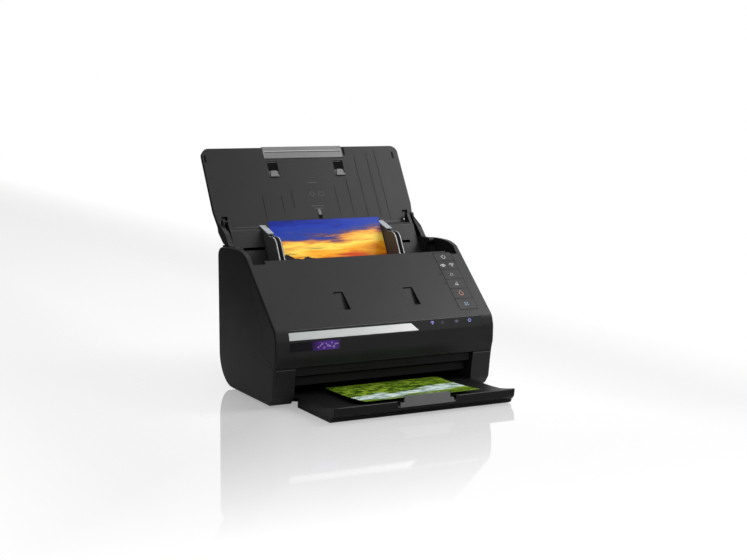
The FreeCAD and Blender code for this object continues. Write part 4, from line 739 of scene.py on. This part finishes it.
# Raised outlines moulded into the middle of the flap: a diamond, a flat oblong and level lines, in
# a pale grey that is painted highlight
MARK_PLACE = (3.5 * MM, 69.5 * MM)
MARK_STROKE = 0.45 * MM
MARK_THICK = 0.12 * MM
flap_marks = [
    [(-8, 0.5), (-4, -3), (0, 0.5), (-4, 4), (-8, 0.5)],
    [(5, -2), (13, -2), (13, 3), (5, 3), (5, -2)],
    [(-6, 17), (6, 17)],
    [(-9, -17), (9, -17)],
    [(-5, -20.5), (8, -20.5)],
]
ribbon("flap_marks", [in_mm(line) for line in flap_marks], MARK_STROKE, MARK_THICK, MARK_HIGHLIGHT,
       "input_tray", flap_row(*MARK_PLACE))

# Ridge lines along the flap's lower edge, in a pale grey that is painted highlight
RIDGE_ROWS = (113.0 * MM, 115.4 * MM)
RIDGE_STROKE = 0.4 * MM
RIDGE_THICK = 0.05 * MM
ridges = [in_mm(line) for line in ([(-118, 0), (-86, 0)], [(96, 0), (122, 0)])]
for i, row in enumerate(RIDGE_ROWS):
    ribbon("flap_ridge_%d" % i, ridges, RIDGE_STROKE, RIDGE_THICK, MARK_HIGHLIGHT, "input_tray",
           flap_row(0.0, row))

# A painted highlight: the bright line along the grey handle
HANDLE_LINE_HALF = 56 * MM
HANDLE_LINE_ROW = 5.4 * MM
HANDLE_OUT = 0.31 * MM
HANDLE_STROKE = 0.7 * MM
HANDLE_LINE_THICK = 0.06 * MM
handle_highlight = [(-HANDLE_LINE_HALF, 0), (HANDLE_LINE_HALF, 0)]
ribbon("handle_highlight", [handle_highlight], HANDLE_STROKE, HANDLE_LINE_THICK, BRIGHT_HIGHLIGHT, "tray_extension",
       flap_row(0.0, HANDLE_LINE_ROW, HANDLE_OUT))

# The shadow gap at the right end of the handle
GAP_HALF = (1.3 * MM, 5.6 * MM)
GAP_PLACE = (60.6 * MM, 7.0 * MM)
plate("handle_gap", box_outline(*GAP_HALF), LINE_THICK, SHADE_AND_DARK_MARKS, "input_tray",
      flap_row(*GAP_PLACE, LINE_LIFT))

# A painted highlight: the fine bright line along the edge above the display window
BAND_EDGE_Z = 92.0 * MM
BAND_EDGE_INSET = 0.5 * MM
BAND_EDGE_STROKE = 0.35 * MM
band_low, band_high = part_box("display_window")
band_line = [(band_low.x + BAND_EDGE_INSET, 0), (band_high.x - BAND_EDGE_INSET, 0)]
ribbon("band_highlight", [band_line], BAND_EDGE_STROKE, LINE_THICK, DIM_HIGHLIGHT, "cover",
       facing_front("display_window", 0.0, BAND_EDGE_Z))

# Stepped lines in the panel of the recess: painted shade along each step, with a painted highlight
# in the body's grey just below its level part
RECESS_Y = -80.5 * MM
RECESS_HIGHLIGHT_DROP = -0.7 * MM
RECESS_STROKE = 0.8 * MM
RECESS_HIGHLIGHT_STROKE = 0.4 * MM
recess = Plane(90.0, RECESS_Y, 0.0)
for name, points in (
    ("left", [(-57, 45.7), (-57, 39.2), (-28, 39.2)]),
    ("right", [(11.4, 44.6), (11.4, 39.4), (38.9, 39.4)]),
):
    line = in_mm(points)
    ribbon("recess_step_shade_" + name, [line], RECESS_STROKE, LINE_THICK, SHADE_AND_DARK_MARKS, "cover",
           recess.matrix(0.0, 0.0, LINE_LIFT))
    ribbon("recess_step_highlight_" + name, [line[1:]], RECESS_HIGHLIGHT_STROKE, LINE_THICK, BODY, "cover",
           recess.matrix(0.0, RECESS_HIGHLIGHT_DROP, LINE_LIFT))

# Painted highlights: fine bright lines where the cover meets the base, on the front of both cheeks
CHEEK_SPAN = (121.2 * MM, 145.5 * MM)
CHEEK_READ_X = 130.0 * MM
CHEEK_LINES = ((55, 0.4 * MM, BRIGHT_HIGHLIGHT), (45.4, 0.35 * MM, DIM_HIGHLIGHT))
for side, name in ((-1, "left"), (1, "right")):
    line = [(side * x, 0.0) for x in CHEEK_SPAN]
    for z, width, material in CHEEK_LINES:
        ribbon("cheek_highlight_%s_%d" % (name, z), [line], width, LINE_THICK, material, "base",
               facing_front("base_shell", side * CHEEK_READ_X, z * MM))

# A painted highlight: the bright line along the top of the output tray's lip, with a gap for the
# stopper
LIP_LINE_Z = 18.6 * MM
LIP_STROKE = 0.45 * MM
for name, u0, u1 in (("left", -114.0 * MM, -40.0 * MM), ("right", 42.0 * MM, 117.0 * MM)):
    ribbon("lip_highlight_" + name, [[(u0, 0), (u1, 0)]], LIP_STROKE, LINE_THICK, DIM_HIGHLIGHT, "output_tray",
           facing_front("output_tray", u0, LIP_LINE_Z))


# Painted highlights: pale bands on the front rims of the guides' upright plates
RIM_FROM_V = -31.5 * MM
RIM_LEAST_W = 15 * MM
RIM_NEAR = 0.02 * MM
RIM_STEP = 0.5 * MM
RIM_SPAN = (0.5 * MM, 1.5 * MM)
RIM_LIFTS = (0.01 * MM, 0.05 * MM)
GUIDE_PLATES = (80.2 * MM, 86.6 * MM)


def rim_points(node, face_x):
    """The front rim of an upright guide plate as (v, w) on the hopper, read from its mesh."""
    found = {}
    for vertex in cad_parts[node].data.vertices:
        if abs(abs(vertex.co.x) - face_x) > RIM_NEAR:
            continue
        _, v, w = hopper.across(vertex.co)
        if v < RIM_FROM_V and w > RIM_LEAST_W:
            key = round(v / RIM_STEP)
            if key not in found or found[key][1] < w:
                found[key] = (v, w)
    return [found[key] for key in sorted(found, reverse=True)]


def rim(name, node, side, plate_x):
    """A painted highlight: a pale band along the front rim of a guide plate; the guide's body has
    its node's name.
    """
    bm = bmesh.new()
    rings = []
    low, high = RIM_LIFTS
    x0, x1 = (plate_x + x for x in RIM_SPAN)
    points = rim_points(node, plate_x)
    for i, point in enumerate(points):
        before = Vector(points[max(i - 1, 0)])
        after = Vector(points[min(i + 1, len(points) - 1)])
        way = (after - before).normalized()
        out = Vector((way.y, -way.x))
        if out.y < 0:
            out = -out
        ring = []
        for x, lift in ((x0, low), (x1, low), (x1, high), (x0, high)):
            v, w = Vector(point) + out * lift
            ring.append(bm.verts.new(hopper.point(side * x, v, w)))
        rings.append(ring)
    tube(bm, rings)
    new_object(name, mesh_of(bm, name), RIM_HIGHLIGHT, node)


for side, node in ((-1, "guide_left"), (1, "guide_right")):
    for i, plate_x in enumerate(GUIDE_PLATES):
        rim("%s_rim_%d" % (node, i), node, side, plate_x)

# The shaded inner faces of the two arms, as (y, z)
ARM_INNER = 134.0 * MM
arm_face = [(98, 188), (97.5, 203), (84, 190.5), (71, 176.5), (81, 173.5), (88, 177.6)]
for side, name in ((-1, "left"), (1, "right")):
    turn = Matrix(((0, 0, -side, side * ARM_INNER), (-side, 0, 0, 0), (0, 1, 0, 0), (0, 0, 0, 1)))
    outline = in_mm((-side * y, z) for y, z in arm_face)
    plate("arm_shade_" + name, outline, LINE_THICK, SHADE_AND_DARK_MARKS, "input_tray", turn)


SHEET_STEPS = 24


def sheet_mesh(name, long, wide, bend):
    """A thin sheet in its own XY plane, bent along Y by the function bend(y)."""
    mesh = bpy.data.meshes.new(name)
    bm = bmesh.new()
    parts = [i / SHEET_STEPS - 0.5 for i in range(SHEET_STEPS + 1)]
    grid = [[bm.verts.new((long * a, wide * b, bend(wide * b))) for a in parts] for b in parts]
    for near, far in zip(grid, grid[1:]):
        for i in range(SHEET_STEPS):
            bm.faces.new((near[i], near[i + 1], far[i + 1], far[i]))
    bm.to_mesh(mesh)
    bm.free()
    return mesh


def thicken(piece):
    """Gives a sheet its thickness, downwards from its printed face."""
    solid = piece.modifiers.new("thickness", "SOLIDIFY")
    solid.thickness = PRINT_THICK
    solid.offset = -1


def dusk_print(name):
    """A made-up evening sky over a dark row of treetops, in glossy print colours."""
    look = Look(name)
    flat = look.add("ShaderNodeTexCoord").outputs["Generated"]
    x, y, _ = look.xyz(flat)
    wisps = look.noise(2.6, detail=7.0, roughness=0.62, vector=flat, stretch=(1.0, 4.5, 1.0))
    lift = look.math("MULTIPLY", look.math("SUBTRACT", wisps, 0.5), 0.5)
    rise = look.math("MULTIPLY", look.math("SUBTRACT", 0.5, x), 0.16)
    level = look.math("ADD", look.math("ADD", y, lift), rise)
    sky = look.ramp(level, (
        (0.42, srgb((196, 66, 22))), (0.53, srgb((238, 160, 28))), (0.64, srgb((250, 214, 88))),
        (0.72, srgb((222, 142, 60))), (0.78, srgb((84, 66, 104))), (0.84, srgb((34, 58, 146))),
        (0.93, srgb((22, 50, 158))), (1.0, srgb((16, 34, 128)))))
    smoke = look.noise(4.2, detail=6.0, roughness=0.6, vector=flat, stretch=(1.0, 6.0, 1.0))
    veil = look.ramp(smoke, ((0.56, (0, 0, 0, 1)), (0.68, (1, 1, 1, 1))))
    veil = look.math("MULTIPLY", veil, look.math("SUBTRACT", 0.9, x, clamp=True))
    sky = look.mix(veil, sky, srgb((24, 30, 62)))
    crowns = look.noise(7.0, detail=6.0, roughness=0.68, vector=flat, stretch=(1.0, 0.25, 1.0))
    treetops = look.math("ADD", look.math("MULTIPLY", crowns, 0.34), 0.36)
    ridge = look.math("SUBTRACT", treetops, look.math("MULTIPLY", x, 0.20))
    under = look.math("GREATER_THAN", ridge, y)
    picture = look.mix(under, sky, srgb((14, 14, 24)))
    return look.set(Base_Color=picture, Roughness=0.28, Specular_IOR_Level=0.12)


def field_print(name):
    """Made-up green fields with a pale band of mist across them, in glossy print colours."""
    look = Look(name)
    flat = look.add("ShaderNodeTexCoord").outputs["Generated"]
    x, y, _ = look.xyz(flat)
    leaves = look.noise(11.0, detail=7.0, roughness=0.72, vector=flat, stretch=(1.0, 0.8, 1.0))
    green = look.ramp(leaves, (
        (0.34, srgb((14, 22, 8))), (0.46, srgb((56, 82, 18))), (0.56, srgb((118, 148, 36))),
        (0.72, srgb((184, 200, 84)))))
    swirl = look.noise(3.0, detail=6.0, roughness=0.6, vector=flat, stretch=(1.0, 2.2, 1.0))
    shift = look.math("MULTIPLY", look.math("SUBTRACT", swirl, 0.5), 0.7)
    middle = look.math("ADD", look.math("MULTIPLY", x, 0.20), 0.20)
    away = look.math("ABSOLUTE", look.math("SUBTRACT", look.math("ADD", y, shift), middle))
    mist = look.ramp(leaves, (
        (0.36, srgb((70, 92, 84))), (0.48, srgb((168, 190, 186))), (0.62, srgb((226, 234, 232)))))
    inside = look.ramp(away, ((0.10, (1, 1, 1, 1)), (0.17, (0, 0, 0, 1))))
    picture = look.mix(inside, green, mist)
    return look.set(Base_Color=picture, Roughness=0.26, Specular_IOR_Level=0.12)


# The print that stands in the input tray: its top edge and its lower edge, as (y, z)
UPPER_PRINT = ((87.9 * MM, 201.8 * MM), (37.8 * MM, 113.4 * MM))
(top_y, top_z), (low_y, low_z) = UPPER_PRINT
lean = math.degrees(math.atan2(top_z - low_z, top_y - low_y))
upper_plane = Plane(lean, (top_y + low_y) / 2, (top_z + low_z) / 2)
upper_print = new_object(
    "upper_print", sheet_mesh("upper_print", UPPER_PRINT_LONG, PRINT_WIDE, lambda y: 0.0),
    dusk_print("dusk_picture"), "hopper", upper_plane.matrix(0.0, 0.0),
)
thicken(upper_print)

# The print that lies on the output tray, as (y, z) of its rear and its front edge
LOWER_PRINT = ((-74.0 * MM, 17.4 * MM), (-175.8 * MM, 21.2 * MM))
LOWER_SAG = 1.4 * MM
(rear_y, rear_z), (near_y, near_z) = LOWER_PRINT
fall = math.degrees(math.atan2(rear_z - near_z, rear_y - near_y))
lower_plane = Plane(fall, (rear_y + near_y) / 2, (rear_z + near_z) / 2)


def lower_bend(y):
    """How far the lower print sags between its two edges."""
    return LOWER_SAG * ((2 * y / PRINT_WIDE) ** 2 - 1)


lower_print = new_object(
    "lower_print",
    sheet_mesh("lower_print", LOWER_PRINT_LONG, PRINT_WIDE, lower_bend),
    field_print("field_picture"), "output_tray", lower_plane.matrix(0.0, 0.0),
)
thicken(lower_print)


def photo_camera():
    """The camera where the photograph was taken from."""
    azimuth = math.radians(PHOTO_AZIMUTH)
    elevation = math.radians(PHOTO_ELEVATION)
    back = Vector((
        math.sin(azimuth) * math.cos(elevation),
        -math.cos(azimuth) * math.cos(elevation),
        math.sin(elevation),
    ))
    right = Vector((math.cos(azimuth), math.sin(azimuth), 0))
    up = back.cross(right)
    aim_x, aim_y = PHOTO_AIM
    place = Vector((0, 0, PHOTO_HEIGHT)) + right * aim_x + up * aim_y + back * PHOTO_DISTANCE
    roll = math.radians(PHOTO_ROLL)
    rolled_right = right * math.cos(roll) + up * math.sin(roll)
    rolled_up = up * math.cos(roll) - right * math.sin(roll)
    data = bpy.data.cameras.new("photo_camera")
    data.lens = PHOTO_LENS
    data.sensor_width = 36.0
    data.clip_start = 0.05
    data.clip_end = 60.0
    camera = bpy.data.objects.new("photo_camera", data)
    turn = Matrix((rolled_right, rolled_up, back)).transposed().to_4x4()
    turn.translation = place
    camera.matrix_world = turn
    bpy.context.scene.collection.objects.link(camera)
    bpy.context.scene.camera = camera


def area_lamp(name, place, target, size, power):
    """A white rectangular lamp that points at a target."""
    data = bpy.data.lights.new(name, "AREA")
    data.shape = "RECTANGLE"
    data.size, data.size_y = size
    data.energy = power
    lamp = bpy.data.objects.new(name, data)
    lamp.location = place
    way = Vector(target) - Vector(place)
    lamp.rotation_mode = "QUATERNION"
    lamp.rotation_quaternion = way.to_track_quat("-Z", "Y")
    bpy.context.scene.collection.objects.link(lamp)


# The room's light on matt faces, and where its dim left wall ends in reflections
ROOM_LIGHT = 0.45
WALL_FROM = -0.15
WALL_TO = 0.2
WALL_DIM = 0.05


def dark_side(nodes):
    """The strength of the room in reflections: white to the right and dim far to the left."""
    place = nodes.add("ShaderNodeTexCoord").outputs["Generated"]
    x, _, _ = nodes.xyz(place)
    spread = nodes.add("ShaderNodeMapRange")
    for socket, value in (
        ("From Min", WALL_FROM), ("From Max", WALL_TO), ("To Min", WALL_DIM), ("To Max", 1.0),
        ("Value", x),
    ):
        nodes.put(spread.inputs[socket], value)
    return spread.outputs["Result"]


def white_room(nodes, strength):
    """A white background of a given strength."""
    node = nodes.add("ShaderNodeBackground")
    nodes.put(node.inputs["Color"], (1, 1, 1, 1))
    nodes.put(node.inputs["Strength"], strength)
    return node.outputs["Background"]


def studio():
    """Three soft lamps in a room that is plain white to the camera and through glass."""
    area_lamp("key_lamp", (1.0, -0.35, 0.95), (0.0, -0.02, 0.14), (0.55, 0.9), 20.0)
    area_lamp("top_lamp", (0.1, 0.5, 1.9), (0.0, 0.0, 0.1), (1.4, 0.8), 9.0)
    area_lamp("front_lamp", (-0.3, -2.2, 1.1), (0.0, 0.0, 0.1), (1.2, 0.8), 12.0)
    world = bpy.data.worlds.new("studio_world")
    world.use_nodes = True
    bpy.context.scene.world = world
    nodes = Nodes(world.node_tree)
    nodes.tree.nodes.clear()
    rays = nodes.add("ShaderNodeLightPath").outputs
    plain = nodes.math("MAXIMUM", rays["Is Camera Ray"], rays["Is Transmission Ray"])
    lit_room = nodes.mix_shaders(rays["Is Glossy Ray"], white_room(nodes, ROOM_LIGHT),
                                 white_room(nodes, dark_side(nodes)))
    surface = nodes.mix_shaders(plain, lit_room, white_room(nodes, 1.0))
    nodes.put(nodes.add("ShaderNodeOutputWorld").inputs["Surface"], surface)


# The floor mirrors, takes shadow and shines less with the distance from the casing
CASING_HALF_WIDE = 148 * MM
CASING_FRONT = 85 * MM
MIRROR = 0.55
MIRROR_FADE = 0.42
FLOOR_SHADE = 0.25
FLOOR_WHITE = 0.8
FLOOR_FAR = 0.12
FLOOR_REACH = 0.75
FLOOR_NARROW = 3.0
FLOOR_HALF = 8.0
FLOOR_LEVEL = -0.05 * MM
FLOOR_GLOSS = 0.05


def fading_floor(nodes):
    """How much the floor mirrors, how much shadow it takes and its own shade, all less far away."""
    place = nodes.add("ShaderNodeTexCoord").outputs["Object"]
    x, y, _ = nodes.xyz(place)
    step = nodes.math
    side = step("SUBTRACT", step("ABSOLUTE", x), CASING_HALF_WIDE)
    ahead = step("SUBTRACT", step("MULTIPLY", y, -1.0), CASING_FRONT)
    distance = step("MAXIMUM", step("MAXIMUM", side, 0.0), ahead)
    fade = step("SUBTRACT", 1.0, step("DIVIDE", distance, MIRROR_FADE), clamp=True)
    away = step("MAXIMUM", step("MAXIMUM", step("MULTIPLY", side, FLOOR_NARROW), ahead), 0.0)
    near = step("SUBTRACT", 1.0, step("DIVIDE", away, FLOOR_REACH), clamp=True)
    shade = step("ADD", step("MULTIPLY", near, FLOOR_WHITE - FLOOR_FAR), FLOOR_FAR)
    return step("MULTIPLY", fade, MIRROR), step("MULTIPLY", fade, FLOOR_SHADE), shade


def floor():
    """A pale, slightly glossy floor that stays white to the camera where nothing stands on it."""
    mesh = bpy.data.meshes.new("floor")
    corners = [(x, y, FLOOR_LEVEL) for x, y in box_outline(FLOOR_HALF, FLOOR_HALF)]
    mesh.from_pydata(corners, [], [(0, 1, 2, 3)])
    piece = bpy.data.objects.new("floor", mesh)
    bpy.context.scene.collection.objects.link(piece)
    material = bpy.data.materials.new("floor_white")
    material.use_nodes = True
    nodes = Nodes(material.node_tree)
    nodes.tree.nodes.clear()
    mirror, shadow, shade = fading_floor(nodes)
    plain = nodes.add("ShaderNodeBsdfDiffuse")
    nodes.put(plain.inputs["Color"], shade)
    plain = plain.outputs["BSDF"]
    glow = nodes.add("ShaderNodeEmission")
    nodes.put(glow.inputs["Strength"], 1.0)
    gloss = nodes.add("ShaderNodeBsdfGlossy")
    nodes.put(gloss.inputs["Roughness"], FLOOR_GLOSS)
    nodes.put(gloss.inputs["Color"], (1, 1, 1, 1))
    shining = nodes.mix_shaders(mirror, glow.outputs["Emission"], gloss.outputs["BSDF"])
    seen = nodes.mix_shaders(shadow, shining, plain)
    rays = nodes.add("ShaderNodeLightPath").outputs
    surface = nodes.mix_shaders(rays["Is Camera Ray"], plain, seen)
    nodes.put(nodes.add("ShaderNodeOutputMaterial").inputs["Surface"], surface)
    mesh.materials.append(material)


photo_camera()
studio()
floor()
bpy.context.scene.view_settings.view_transform = "Standard"
